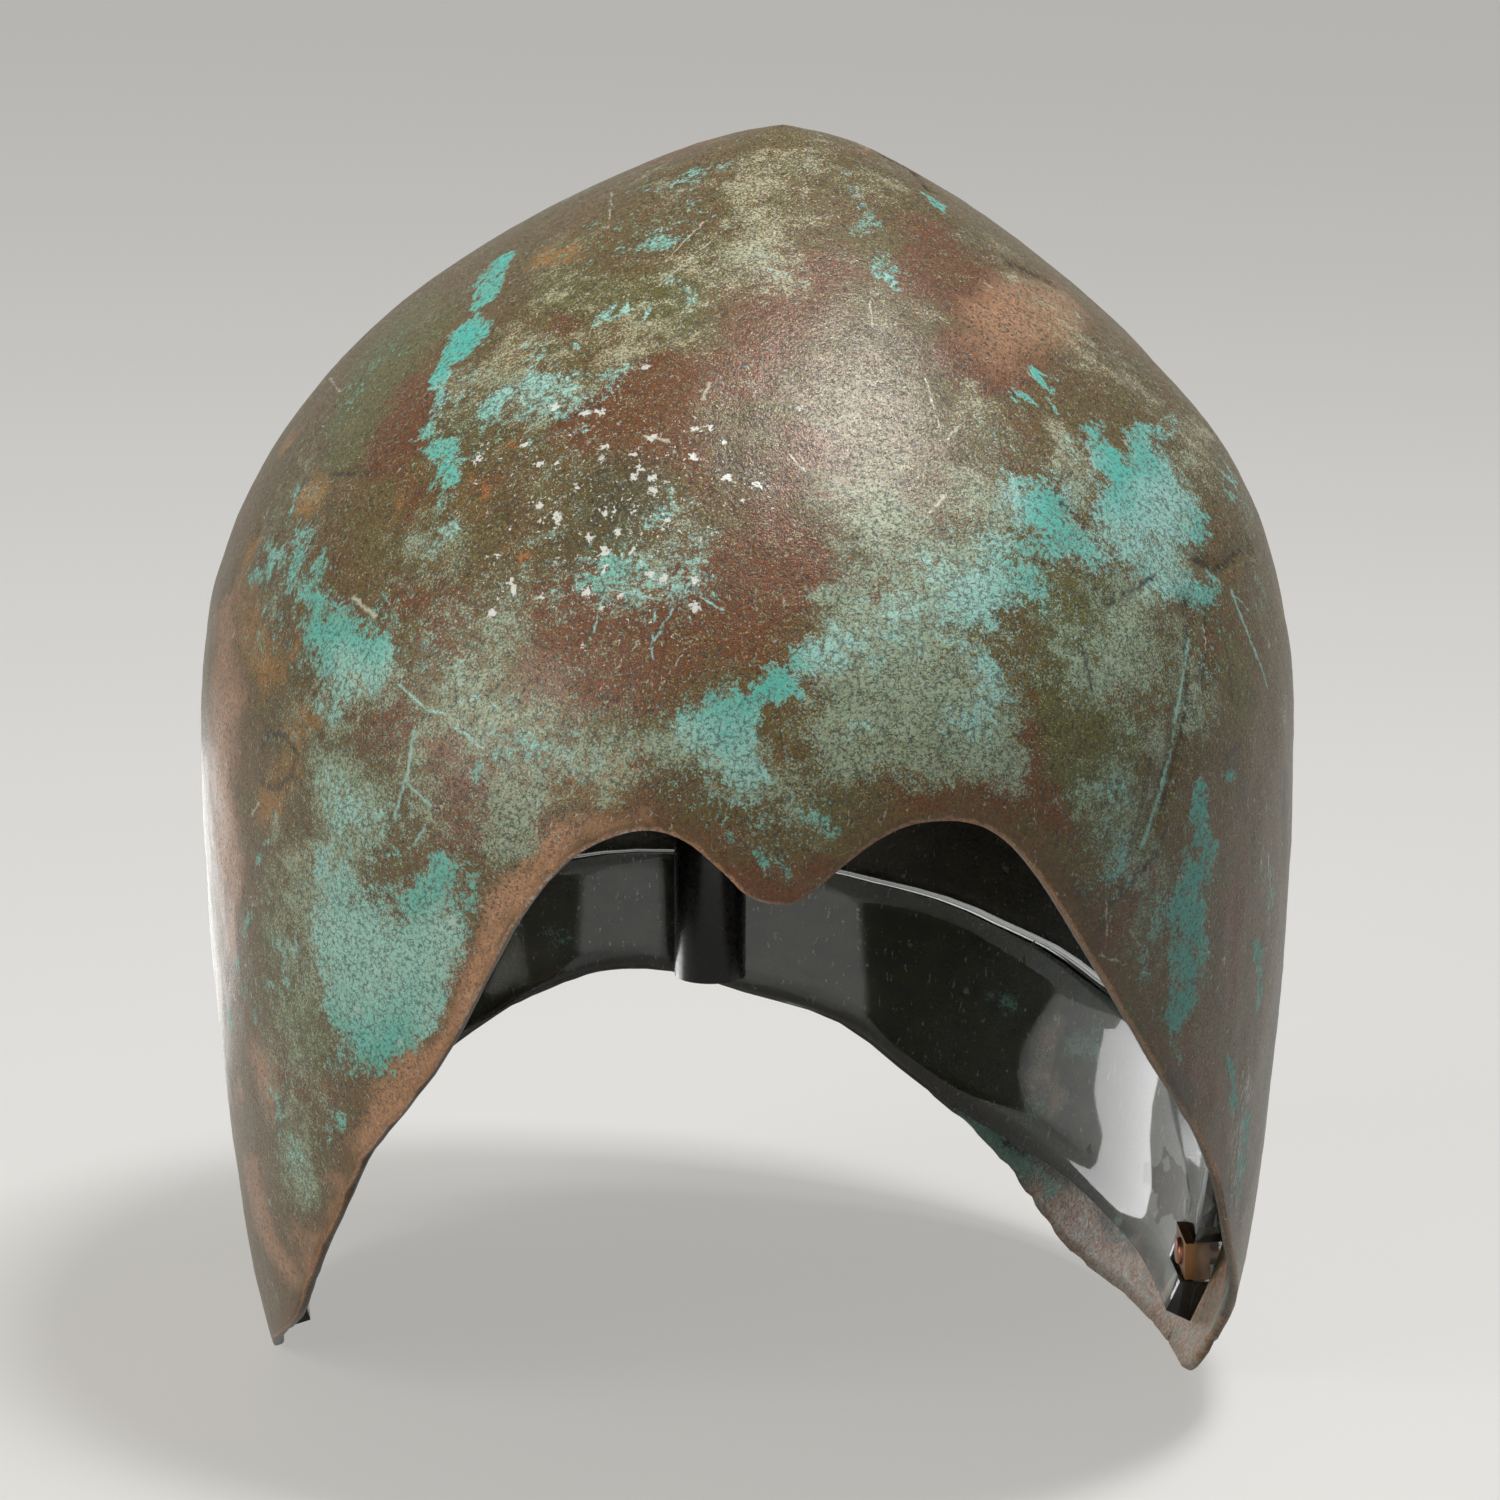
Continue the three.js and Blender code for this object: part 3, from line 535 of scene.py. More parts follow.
OLIVE_STROKES = [
    (0.9, 400, 330, 42, 370, 392, 42), (0.85, 340, 442, 36), (0.75, 440, 312, 26), (0.65, 480, 250, 22),
    (0.6, 560, 290, 40, 660, 300, 36), (0.5, 690, 306, 24), (0.85, 1080, 612, 38),
    (0.6, 1120, 320, 26, 1150, 360, 20), (0.85, 290, 1000, 32, 310, 1042, 25), (0.65, 265, 932, 22),
    (0.45, 500, 720, 50), (0.45, 630, 715, 50), (0.85, 1080, 702, 46, 1100, 782, 46, 1120, 832, 32),
    (0.55, 830, 820, 44), (0.65, 1130, 1030, 26), (0.6, 1000, 560, 50),
    (0.6, 1230, 650, 26, 1250, 720, 22), (0.5, 790, 136, 16), (0.5, 600, 520, 60), (0.4, 960, 640, 60),
    (0.5, 1140, 640, 44), (0.5, 470, 420, 30), (0.4, 380, 540, 40),
    (0.5, 1080, 950, 14, 1120, 1010, 20), (0.4, 290, 1130, 26),
]
TAN_STROKES = [
    # The strokes down the left edge, from 226, 610 to 266, 1100, are rubbed metal and partly painted rim
    # light.
    (0.9, 222, 700, 27, 219, 780, 28, 224, 850, 26, 226, 905, 19, 230, 950, 13),
    (0.75, 226, 610, 22, 224, 660, 24), (0.85, 258, 1052, 24, 266, 1100, 14),
    (0.95, 252, 1178, 22, 262, 1230, 18, 285, 1270, 16), (0.8, 238, 1080, 9, 232, 1130, 9),
    (0.9, 556, 850, 15, 520, 890, 13, 492, 940, 15, 474, 990, 22, 444, 1040, 22, 404, 1100, 26, 372,
     1142, 24),
    (0.6, 640, 812, 16, 600, 826, 15, 556, 850, 15), (0.7, 340, 1190, 14, 322, 1250, 12, 306, 1280, 10),
    (0.45, 690, 850, 14, 740, 890, 10), (0.8, 860, 152, 11), (0.85, 1000, 322, 44, 1058, 308, 40),
    (0.5, 1216, 420, 9, 1247, 482, 11, 1266, 542, 11, 1277, 602, 10), (0.35, 1120, 680, 32),
    (0.15, 820, 440, 60), (0.6, 300, 1236, 16), (0.4, 318, 1090, 14), (0.35, 1064, 800, 16),
]
GOLD_STROKES = [
    (0.7, 560, 250, 27), (0.9, 312, 500, 23), (0.8, 290, 444, 18), (0.8, 270, 672, 26),
    (0.85, 302, 720, 20), (0.75, 270, 802, 26), (0.6, 244, 560, 20, 250, 640, 30), (0.5, 300, 640, 14),
    (0.4, 500, 360, 30), (0.5, 490, 720, 18), (0.5, 720, 140, 12), (0.5, 560, 800, 30, 620, 780, 26),
    (0.45, 500, 900, 12), (0.4, 470, 510, 20), (0.5, 400, 500, 16), (0.6, 285, 760, 20),
    (0.35, 660, 300, 24), (0.35, 1130, 680, 30), (0.4, 800, 140, 18), (0.5, 290, 860, 20),
]
# Dark areas: dark patina, and painted shade along the right edge, on the right cheek and the lower right
# flap.
DARK_PATINA_AND_SHADE_STROKES = [
    (0.5, 745, 470, 27), (0.5, 500, 508, 26), (0.5, 602, 500, 42), (0.4, 560, 560, 32),
    (0.3, 426, 580, 28), (0.35, 860, 330, 26, 900, 345, 24), (0.5, 404, 496, 8), (0.4, 1200, 756, 28),
    (0.8, 1286, 780, 9, 1288, 880, 14, 1280, 1000, 16, 1268, 1090, 16, 1256, 1170, 14),
    (0.9, 1170, 1090, 22, 1200, 1150, 26, 1226, 1200, 20), (0.5, 1150, 1020, 28),
    (0.5, 1225, 900, 10, 1220, 1010, 10), (0.5, 1245, 780, 14, 1256, 860, 10),
    (0.5, 1080, 880, 14, 1100, 950, 12), (0.45, 1240, 1040, 16), (0.6, 1235, 760, 12),
    (0.3, 650, 460, 40), (0.35, 960, 380, 20), (0.4, 1040, 560, 14), (0.3, 460, 800, 40),
    (0.3, 300, 560, 20),
]
CHALK_STROKES = [
    (0.9, 536, 504, 15, 543, 530, 12), (0.75, 514, 592, 16), (0.5, 470, 604, 12),
    (0.9, 637, 464, 11, 652, 478, 8), (0.7, 652, 496, 14), (0.95, 652, 536, 14, 640, 556, 10),
    (0.45, 600, 510, 34), (0.5, 590, 572, 18), (0.4, 500, 470, 30), (0.5, 690, 510, 34),
    (0.55, 728, 470, 14), (0.45, 700, 440, 34), (0.3, 600, 430, 44), (0.4, 490, 560, 34),
    (0.3, 640, 600, 44), (0.6, 705, 370, 6), (0.6, 708, 395, 9), (0.5, 660, 436, 14),
    (0.4, 740, 480, 24), (0.3, 570, 540, 50),
]
STREAK_STROKES = [
    (0.9, 1268, 850, 8, 1272, 940, 8), (0.7, 1262, 960, 8, 1258, 1010, 8),
    (1.0, 1246, 1070, 9, 1240, 1140, 10, 1238, 1200, 8), (0.4, 1210, 900, 16, 1204, 980, 14),
    (0.6, 1284, 700, 6, 1286, 730, 6), (0.5, 250, 880, 5, 248, 990, 6), (0.5, 244, 975, 7),
    (0.4, 270, 1290, 8),
]
ORANGE_STROKES = [
    (1.0, 526, 504, 5, 522, 552, 5), (0.7, 512, 445, 7), (0.7, 482, 470, 8, 478, 500, 8),
    (0.5, 500, 545, 10), (0.6, 470, 548, 8), (0.4, 795, 370, 14), (0.5, 285, 775, 12),
    (0.4, 560, 545, 8), (0.6, 1088, 471, 6),
]
BRIGHT_EDGE_STROKES = [
    (1.0, 640, 828, 16, 600, 838, 18, 556, 862, 20, 520, 905, 20, 492, 950, 20, 470, 1010, 16, 440,
     1060, 14),
    (0.6, 400, 1110, 14, 370, 1150, 14), (0.5, 780, 905, 14), (0.4, 900, 836, 16, 960, 830, 16),
]
# Strokes on the inside of the bowl, seen through its opening
# Bright strokes of the inner tip: copper and white crust, partly painted light where light falls on the tip.
INNER_CRUST_AND_LIGHT_STROKES = [
    (1.0, 1040, 1210, 26, 1090, 1262, 34, 1140, 1305, 38, 1190, 1340, 34, 1218, 1300, 24),
    (0.5, 1060, 1030, 16, 1056, 1100, 12),
]
INNER_TEAL_STROKES = [
    (0.75, 966, 1130, 14, 1006, 1165, 20, 1050, 1190, 14), (0.7, 1095, 1040, 20), (0.5, 1040, 1110, 22),
    (0.7, 1135, 1232, 14), (0.8, 1228, 1290, 9, 1234, 1330, 8), (0.5, 1010, 1000, 20),
    (0.4, 560, 940, 20),
]
INNER_CHALK_STROKES = [
    (1.0, 1062, 1018, 9, 1056, 1060, 8, 1052, 1100, 6), (0.8, 1090, 990, 10),
    (0.9, 1070, 1225, 22, 1130, 1290, 26), (0.8, 1200, 1330, 20),
]

# Grooves and creases pressed into the sheet: half width and depth in millimetres, then x, y stops
GROOVES = [
    (1.0, 0.7, 884, 156, 914, 174, 928, 192), (1.2, 0.4, 1008, 264, 1030, 273, 1052, 284),
    (1.5, 0.7, 1060, 502, 1088, 528), (1.8, 0.8, 1102, 607, 1128, 592, 1154, 577),
    (1.4, 0.8, 1193, 560, 1214, 571, 1241, 549), (1.6, 0.8, 1187, 600, 1184, 700, 1160, 800, 1138, 850),
    (1.4, 0.5, 1207, 610, 1204, 700), (1.1, 0.3, 335, 474, 372, 474), (1.4, 0.3, 746, 862, 800, 896),
    (1.2, 0.25, 250, 560, 262, 520),
]
# Broad swells of the sheet, as x, y, reach and height in millimetres
SWELLS = [
    (1190, 440, 24, 2.4), (1240, 580, 18, 0.8), (330, 330, 34, 0.9), (655, 165, 22, 0.7),
    (890, 180, 18, 0.7), (1235, 480, 20, 1.0), (872, 150, 11, 0.7),
]
# Nicks in the rim, as x, y, half length and depth in millimetres
NICKS = [
    (357, 1165, 1.2, 0.8), (345, 1200, 1.6, 0.7), (320, 1250, 1.8, 0.6), (302, 1288, 1.6, 0.6),
    (412, 1088, 2.0, 0.4), (385, 1128, 2.2, 0.4), (1032, 1200, 2.4, 1.0), (1046, 1222, 1.6, 0.8),
    (960, 1130, 1.8, 0.7), (1000, 1180, 2.2, 0.7), (1075, 1262, 2.4, 0.7), (1110, 1300, 2.0, 0.6),
    (1163, 1345, 1.6, 2.4), (1140, 1330, 1.8, 0.7), (1220, 1350, 1.8, 0.8), (1238, 1290, 2.0, 0.5),
    (720, 885, 1.6, 0.25), (560, 862, 2.2, 0.25),
]
# Thin scratches and dark lines, as x, y to x, y and a width in millimetres
TEAL_SCRATCHES = [
    (398, 683, 412, 696, 0.5), (412, 696, 426, 709, 0.5), (426, 709, 445, 715, 0.5),
    (455, 727, 483, 748, 0.5), (414, 733, 408, 772, 0.6), (408, 772, 395, 818, 0.6),
    (408, 784, 431, 806, 0.5), (424, 828, 414, 846, 0.5), (1188, 640, 1179, 700, 0.5),
    (1179, 700, 1165, 772, 0.6), (1165, 772, 1142, 846, 0.7), (1181, 690, 1174, 722, 0.5),
    (1232, 592, 1240, 614, 0.8), (1240, 614, 1256, 656, 0.6), (1254, 648, 1267, 686, 0.6),
    (1233, 594, 1248, 610, 0.4), (612, 590, 660, 600, 0.35), (640, 560, 690, 620, 0.3),
    (690, 582, 655, 640, 0.35), (655, 610, 652, 660, 0.35), (590, 640, 604, 596, 0.3),
    (700, 596, 722, 610, 0.35),
]
# Most dark lines run along the creases and grooves, as painted shade in them.
CREASE_SHADE_AND_DARK_LINES = [
    (335, 474, 372, 475, 0.9), (262, 744, 270, 733, 1.2), (270, 733, 288, 738, 1.2),
    (288, 738, 297, 753, 1.2), (297, 753, 292, 776, 1.2), (292, 776, 275, 790, 1.2),
    (275, 790, 262, 782, 1.2), (884, 156, 914, 174, 0.9), (914, 174, 927, 190, 1.1),
    (1008, 264, 1030, 273, 1.0), (1030, 273, 1052, 284, 1.0), (1062, 504, 1086, 526, 1.1),
    (1104, 606, 1128, 592, 1.3), (1128, 592, 1152, 578, 1.1), (1194, 560, 1214, 571, 1.1),
    (1214, 571, 1240, 550, 1.3), (1184, 598, 1186, 656, 1.2), (1186, 656, 1183, 720, 1.0),
    (1183, 720, 1160, 810, 0.9), (1205, 610, 1202, 690, 0.8), (1080, 640, 1092, 690, 0.9),
    (1225, 640, 1232, 700, 0.8), (1150, 760, 1128, 860, 1.0), (1226, 758, 1240, 742, 1.4),
    (1110, 905, 1150, 862, 1.2), (1150, 862, 1168, 826, 1.0), (560, 420, 600, 405, 0.5),
    (590, 520, 640, 470, 0.5),
]
LIGHT_SCRATCHES = [
    (354, 598, 375, 616, 0.65), (665, 262, 704, 222, 0.32), (660, 285, 712, 240, 0.28),
    (610, 218, 612, 192, 0.37), (930, 512, 946, 494, 0.46), (330, 378, 340, 392, 0.37),
    (340, 392, 350, 384, 0.37), (645, 436, 668, 441, 0.56), (703, 398, 710, 384, 0.56),
    (610, 596, 700, 575, 0.19), (600, 690, 640, 640, 0.24), (700, 540, 730, 650, 0.19),
    (870, 300, 872, 326, 0.32), (945, 440, 960, 426, 0.32), (790, 455, 806, 472, 0.32),
    (940, 430, 926, 380, 0.28), (1098, 540, 1150, 525, 0.24), (1107, 900, 1107, 935, 0.32),
    (1100, 955, 1150, 975, 0.28), (1130, 930, 1150, 960, 0.24), (251, 815, 259, 804, 0.46),
    (1203, 625, 1206, 650, 0.37), (985, 283, 992, 288, 0.46), (660, 690, 690, 640, 0.19),
]


def warped(points):
    """Points in millimetres, moved about by two sizes of noise so that a patch gets a ragged edge."""
    noise.seed_set(NOISE_SEED)
    moved = np.empty_like(points)
    for index, point in enumerate(points):
        place = Vector(point)
        wide = noise.noise_vector(place * WARP_WIDE_SCALE + WARP_SHIFT)
        narrow = noise.noise_vector(place * WARP_NARROW_SCALE - WARP_SHIFT)
        moved[index] = place + wide * WARP_WIDE_MM + narrow * WARP_NARROW_MM
    return moved


def facing(points):
    """Points in millimetres laid out along the camera's axes, with their depth drawn together."""
    _centre, right, up, back = camera_frame()
    return points @ np.array((right, up, back * DEPTH_SHARE)).T


def stroke_stops(stroke, tree):
    """The stops of a stroke as places laid out along the camera's axes, with their radii."""
    stops = [stroke[k:k + 3] for k in range(1, len(stroke), 3)]
    places = facing(np.array([point_at(tree, x, y) / MM for x, y, _radius in stops]))
    return [(place, stop[2] / PIXELS_PER_MM) for place, stop in zip(places, stops)]


def distance_and_share(points, start, end):
    """Distance of each point from a line between two places, and how far along it the nearest place lies."""
    along = end - start
    share = np.clip((points - start) @ along / max(along @ along, 1e-9), 0, 1)
    return np.linalg.norm(points - start - share[:, None] * along, axis=1), share


def stroke_mask(points, strokes, tree):
    """How much the strokes cover each point, from 0 to 1."""
    points = facing(points)
    total = np.zeros(len(points))
    for stroke in strokes:
        stops = stroke_stops(stroke, tree)
        covered = np.zeros(len(points))
        for (start, near), (end, far) in zip(stops, stops[1:] or stops):
            gap, share = distance_and_share(points, start, end)
            radius = (near + share * (far - near)) * STROKE_FADE
            ramp = np.clip(1 - gap / radius, 0, 1)
            covered = np.maximum(covered, ramp * ramp * (3 - 2 * ramp))
        total += stroke[0] * covered * (1 - total)
    return total


# Plain oval that the upright bowl follows, for its outward directions
BOWL_RADII = (0.0975, 0.115, 0.11)
BOWL_MIDDLE = (0.002, 0.002, 0.105)


def bowl_direction(points):
    """Outward direction of the bowl at points in metres, the same on both sides of the sheet."""
    upright = (points + np.array(FOOT_CENTRE)) @ np.array(LEAN)
    away = (upright - np.array(BOWL_MIDDLE)) / np.array(BOWL_RADII)**2
    away[:, 2] = np.maximum(away[:, 2], 0)
    away /= np.linalg.norm(away, axis=1)[:, None]
    return away @ np.array(LEAN).T


ROUGHNESS_FADE = 0.8
ROUGHNESS_STEP = 2.1


def fractal(point, size_mm, octaves=3):
    """Rough noise about 0 at a point in metres, with bumps of the given size."""
    place = Vector(point) / (size_mm * MM)
    return noise.fractal(place, ROUGHNESS_FADE, ROUGHNESS_STEP, octaves, noise_basis="PERLIN_ORIGINAL")


def store(mesh, name, values):
    layer = mesh.attributes.new(name, "FLOAT", "POINT")
    layer.data.foreach_set("value", np.asarray(values, np.float32))


# The skin of the bowl's front is cut once more where its edges are long. The rim stays crisp by a crease.
LONG_EDGE = 9.5 * MM
FRONT_DEPTH = 0.02
SKIN_MIDDLE = Vector((0.003, 0.004, 0.1))
SOFT_BEND = math.radians(40)
RIM_BEND = math.radians(55)
RIM_CREASE = 0.75

# Wear of the rim: how far from it the sheet follows, and what stays clear of it
RIM_BAND = 14 * MM
RIM_SAMPLE_GAP = 1 * MM
PIN_HOLE_MARGIN = 7 * MM
FLAP_TOP = 0.095
FLAP_FADE = 0.03
GROUND_MARGIN = 1 * MM
GROUND_FADE = 6 * MM
BROW_WEAR_SHARE = 0.12
RAGGED_WIDE_MM = 7.0
RAGGED_NARROW_MM = 2.6
RAGGED_SHIFT = Vector((3, 1, 2))


def is_long_front_edge(edge):
    """Whether an edge of the bowl's outer skin, on its front, is long enough to be cut."""
    if edge.calc_length() <= LONG_EDGE or sum((v.co for v in edge.verts), Vector()).y / 2 >= FRONT_DEPTH:
        return False
    outside = all(face.normal.dot(face.calc_center_median() - SKIN_MIDDLE) > 0 for face in edge.link_faces)
    return outside and edge.calc_face_angle(0) < SOFT_BEND


def rim_samples(rim):
    """Places along the rim, each with the direction across the sheet away from the edge."""
    samples = []
    holes = [sum(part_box(name), Vector()) / 2 for name in ("left_cheek_pin", "right_cheek_pin")]
    for edge in rim:
        start, end = (vert.co for vert in edge.verts)
        middle = (start + end) / 2
        if min((middle - hole).length for hole in holes) < PIN_HOLE_MARGIN:
            continue
        broad = max(edge.link_faces, key=lambda face: face.calc_area())
        inward = (end - start).normalized().cross(broad.normal).normalized()
        if inward.dot(broad.calc_center_median() - middle) < 0:
            inward = -inward
        steps = max(2, int(edge.calc_length() / RIM_SAMPLE_GAP))
        samples += [(start.lerp(end, (step + 0.5) / steps), inward) for step in range(steps)]
    return samples


def refined_shell():
    """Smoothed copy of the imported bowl, finer at the front, and samples of its rim."""
    bm = cad_copy("helmet_shell")
    bmesh.ops.join_triangles(
        bm, faces=bm.faces, angle_face_threshold=QUAD_FACE_TURN, angle_shape_threshold=QUAD_SHAPE_TURN
    )
    long_edges = [edge for edge in bm.edges if is_long_front_edge(edge)]
    bmesh.ops.subdivide_edges(bm, edges=long_edges, cuts=1, use_grid_fill=True)
    crease = bm.edges.layers.float.get("crease_edge") or bm.edges.layers.float.new("crease_edge")
    rim = [edge for edge in bm.edges if edge.calc_face_angle(0) > RIM_BEND]
    for edge in rim:
        edge[crease] = RIM_CREASE
    samples = rim_samples(rim)
    mesh = bpy.data.meshes.new("bronze_shell")
    bm.to_mesh(mesh)
    bm.free()
    rough = bpy.data.objects.new("bronze_shell_rough", mesh)
    bpy.context.scene.collection.objects.link(rough)
    surface = rough.modifiers.new("smooth", "SUBSURF")
    surface.levels = surface.render_levels = settings().shell.subdivisions
    graph = bpy.context.evaluated_depsgraph_get()
    smooth = bpy.data.meshes.new_from_object(rough.evaluated_get(graph))
    bpy.data.objects.remove(rough)
    return smooth, samples


def rim_wear(samples):
    """Tree of the rim's places, and how far each one is worn away."""
    shell = settings().shell
    found = KDTree(len(samples))
    for index, (place, _inward) in enumerate(samples):
        found.insert(place, index)
    found.balance()
    nicks = []
    for x, y, half, depth in NICKS:
        centre, away = pixel_ray(x, y)
        near = min(samples, key=lambda sample: (sample[0] - centre).cross(away).length)
        nicks.append((near[0], half * MM, depth * MM))
    wear = []
    for place, _inward in samples:
        flap = min(max((FLAP_TOP - place.z) / FLAP_FADE, 0), 1)
        ground = min(max((place.z - GROUND_MARGIN) / GROUND_FADE, 0), 1)
        rough = max(fractal(place, RAGGED_WIDE_MM) * 0.6 + 0.3, 0)
        rough += max(fractal(place + RAGGED_SHIFT, RAGGED_NARROW_MM) * 0.5, 0)
        amount = shell.edge_wear * rough * (BROW_WEAR_SHARE + (1 - BROW_WEAR_SHARE) * flap) * ground
        for nick, half, depth in nicks:
            reach = (place - nick).length / half
            amount += depth * max(1 - reach * reach, 0)
        wear.append(amount)
    return found, wear


def groove_depth(points, tree):
    """Depth in millimetres of the grooves at each point."""
    deepest = np.zeros(len(points))
    for half, depth, *pixels in GROOVES:
        stops = [np.array(point_at(tree, x, y)) / MM for x, y in zip(pixels[::2], pixels[1::2])]
        for start, end in zip(stops[:-1], stops[1:]):
            gap, _share = distance_and_share(points, start, end)
            deepest = np.maximum(deepest, np.exp(-((gap / half) ** 2)) * depth)
    return deepest


def swell_height(points, tree):
    """Height in millimetres of the broad swells at each point."""
    total = np.zeros(len(points))
    for x, y, reach, height in SWELLS:
        middle = np.array(point_at(tree, x, y)) / MM
        total += height * np.exp(-((np.linalg.norm(points - middle, axis=1) / reach) ** 2))
    return total


# Fade, step and number of the sizes of noise in the patches of the hidden sides
PATCH_NOISE = (0.9, 2.0, 4)
PATCH_SEED_STEP = 3.7


def scattered(points, seed, size_mm, low, high):
    """Patches of the hidden sides: a smooth noise stretched between two levels."""
    shift = Vector((seed, -seed, seed * 0.5))
    values = [noise.fractal(Vector(point) / size_mm + shift, *PATCH_NOISE) for point in points]
    return np.clip((np.array(values) - low) / (high - low), 0, 1)


# What the sides that the photograph hides get: noise size in millimetres, the two levels, and a strength
HIDDEN_PATCHES = {
    "teal": (22.0, 0.08, 0.95, 0.85), "pale": (28.0, -0.3, 0.6, 0.85), "red": (26.0, -0.1, 0.5, 0.9),
    "olive": (34.0, -0.1, 0.5, 0.9), "tan": (30.0, 0.15, 0.7, 0.8), "gold": (22.0, 0.2, 0.7, 0.5),
    "dark": (28.0, 0.15, 0.7, 0.5), "streak": (16.0, 0.35, 0.7, 0.7),
}
OUTER_STROKES = {
    "teal": TEAL_STROKES, "pale": PALE_STROKES, "red": RED_STROKES, "olive": OLIVE_STROKES,
    "tan": TAN_STROKES, "gold": GOLD_STROKES, "dark": DARK_PATINA_AND_SHADE_STROKES, "streak": STREAK_STROKES,
    "chalk": CHALK_STROKES, "orange": ORANGE_STROKES, "bright_edge": BRIGHT_EDGE_STROKES,
}
INNER_STROKES = {
    "inner_teal": INNER_TEAL_STROKES, "inner_crust_and_light": INNER_CRUST_AND_LIGHT_STROKES,
    "inner_chalk": INNER_CHALK_STROKES,
}


# Hammer marks of two sizes and pits, in millimetres
HAMMER_WIDE_MM = 34.0
HAMMER_NARROW_MM = 13.0
HAMMER_SHIFT = Vector((5, 7, 1))
PIT_SIZE_MM = 3.2


def numbers_of(vertices, name):
    """A vector of each vertex as rows of numbers."""
    values = np.empty(len(vertices) * 3, np.float32)
    vertices.foreach_get(name, values)
    return values.reshape(-1, 3).astype(float)


def dent(mesh, places, normals, outward, samples, tree):
    """Presses swells, hammer marks, grooves, pits and wear into the mesh, and tells how near the rim is."""
    shell = settings().shell
    found, wear = rim_wear(samples)
    moved = places.copy()
    rim_near = np.zeros(len(places))
    raised = (swell_height(places / MM, tree), groove_depth(places / MM, tree))
    for index, (swell, groove) in enumerate(zip(*raised)):
        place = Vector(places[index])
        hammer = fractal(place, HAMMER_WIDE_MM, 2) * 0.9
        hammer += fractal(place + HAMMER_SHIFT, HAMMER_NARROW_MM, 2) * 0.5
        height = shell.hammer_depth * (hammer - 1) + (swell - groove) * MM
        pits = shell.pit_depth * (fractal(place, PIT_SIZE_MM, 2) - 1)
        shift = Vector(outward[index]) * height + Vector(normals[index]) * pits
        _near, sample, gap = found.find(place)
        if gap < RIM_BAND:
            rim_near[index] = 1 - gap / RIM_BAND
            shift += samples[sample][1] * (wear[sample] * rim_near[index] ** 2)
        moved[index] += shift
    mesh.vertices.foreach_set("co", moved.astype(np.float32).ravel())
    mesh.update()
    return rim_near


def weather(mesh, samples, tree):
    """Dents in the mesh, and the patina in its attributes."""
    places = numbers_of(mesh.vertices, "co")
    normals = numbers_of(mesh.vertices, "normal")
    outward = bowl_direction(places)
    outer = np.clip(((normals * outward).sum(1) + 0.3) / 0.6, 0, 1)
    rim_near = dent(mesh, places, normals, outward, samples, tree)
    back = np.array(camera_frame()[3])
    seen = np.clip((normals @ back + 0.05) * 4, 0, 1) * outer
    hidden = outer * (1 - seen)
    ragged = warped(places / MM)
    for number, (name, strokes) in enumerate(OUTER_STROKES.items()):
        amount = stroke_mask(ragged, strokes, tree) * outer * (1 - hidden)
        if name in HIDDEN_PATCHES:
            *pattern, strength = HIDDEN_PATCHES[name]
            amount += scattered(places / MM, number * PATCH_SEED_STEP, *pattern) * strength * hidden
        store(mesh, name, amount)
    for name, strokes in INNER_STROKES.items():
        store(mesh, name, stroke_mask(ragged, strokes, tree) * (1 - outer))
    store(mesh, "outer", outer)
    store(mesh, "rim_near", rim_near)


def line_group():
    """Node group that draws one thin line between two points, in millimetres, used for scratches and for
    lines of painted shade along the creases. Each of its nodes is made after those that it reads, which
    keeps the shader small for the renderer."""
    group = bpy.data.node_groups.new("scratch_and_shade_line", "ShaderNodeTree")
    for name in ("Place", "Start", "Along"):
        group.interface.new_socket(name, in_out="INPUT", socket_type="NodeSocketVector")
    for name in ("Width", "Scale"):
        group.interface.new_socket(name, in_out="INPUT", socket_type="NodeSocketFloat")
    group.interface.new_socket("Line", in_out="OUTPUT", socket_type="NodeSocketFloat")
    nodes, links = group.nodes, group.links
    source = nodes.new("NodeGroupInput").outputs
    sink = nodes.new("NodeGroupOutput").inputs

    def vector(operation, a, b):
        node = nodes.new("ShaderNodeVectorMath")
        node.operation = operation
        links.new(a, node.inputs[0])
        links.new(b, node.inputs[3 if operation == "SCALE" else 1])
        return node.outputs[1] if operation in ("DOT_PRODUCT", "DISTANCE") else node.outputs[0]

    reach = vector("SUBTRACT", source["Place"], source["Start"])
    reached = vector("DOT_PRODUCT", reach, source["Along"])
    share = nodes.new("ShaderNodeMath")
    share.operation = "MULTIPLY"
    links.new(reached, share.inputs[0])
    links.new(source["Scale"], share.inputs[1])
    clamp = nodes.new("ShaderNodeClamp")
    links.new(share.outputs[0], clamp.inputs[0])
    gap = vector("DISTANCE", reach, vector("SCALE", source["Along"], clamp.outputs[0]))
    line = nodes.new("ShaderNodeMapRange")
    line.interpolation_type = "SMOOTHSTEP"
    line.clamp = False
    links.new(gap, line.inputs["Value"])
    links.new(source["Width"], line.inputs["From Min"])
    line.inputs["From Max"].default_value = 0
    links.new(line.outputs[0], sink["Line"])
    return group


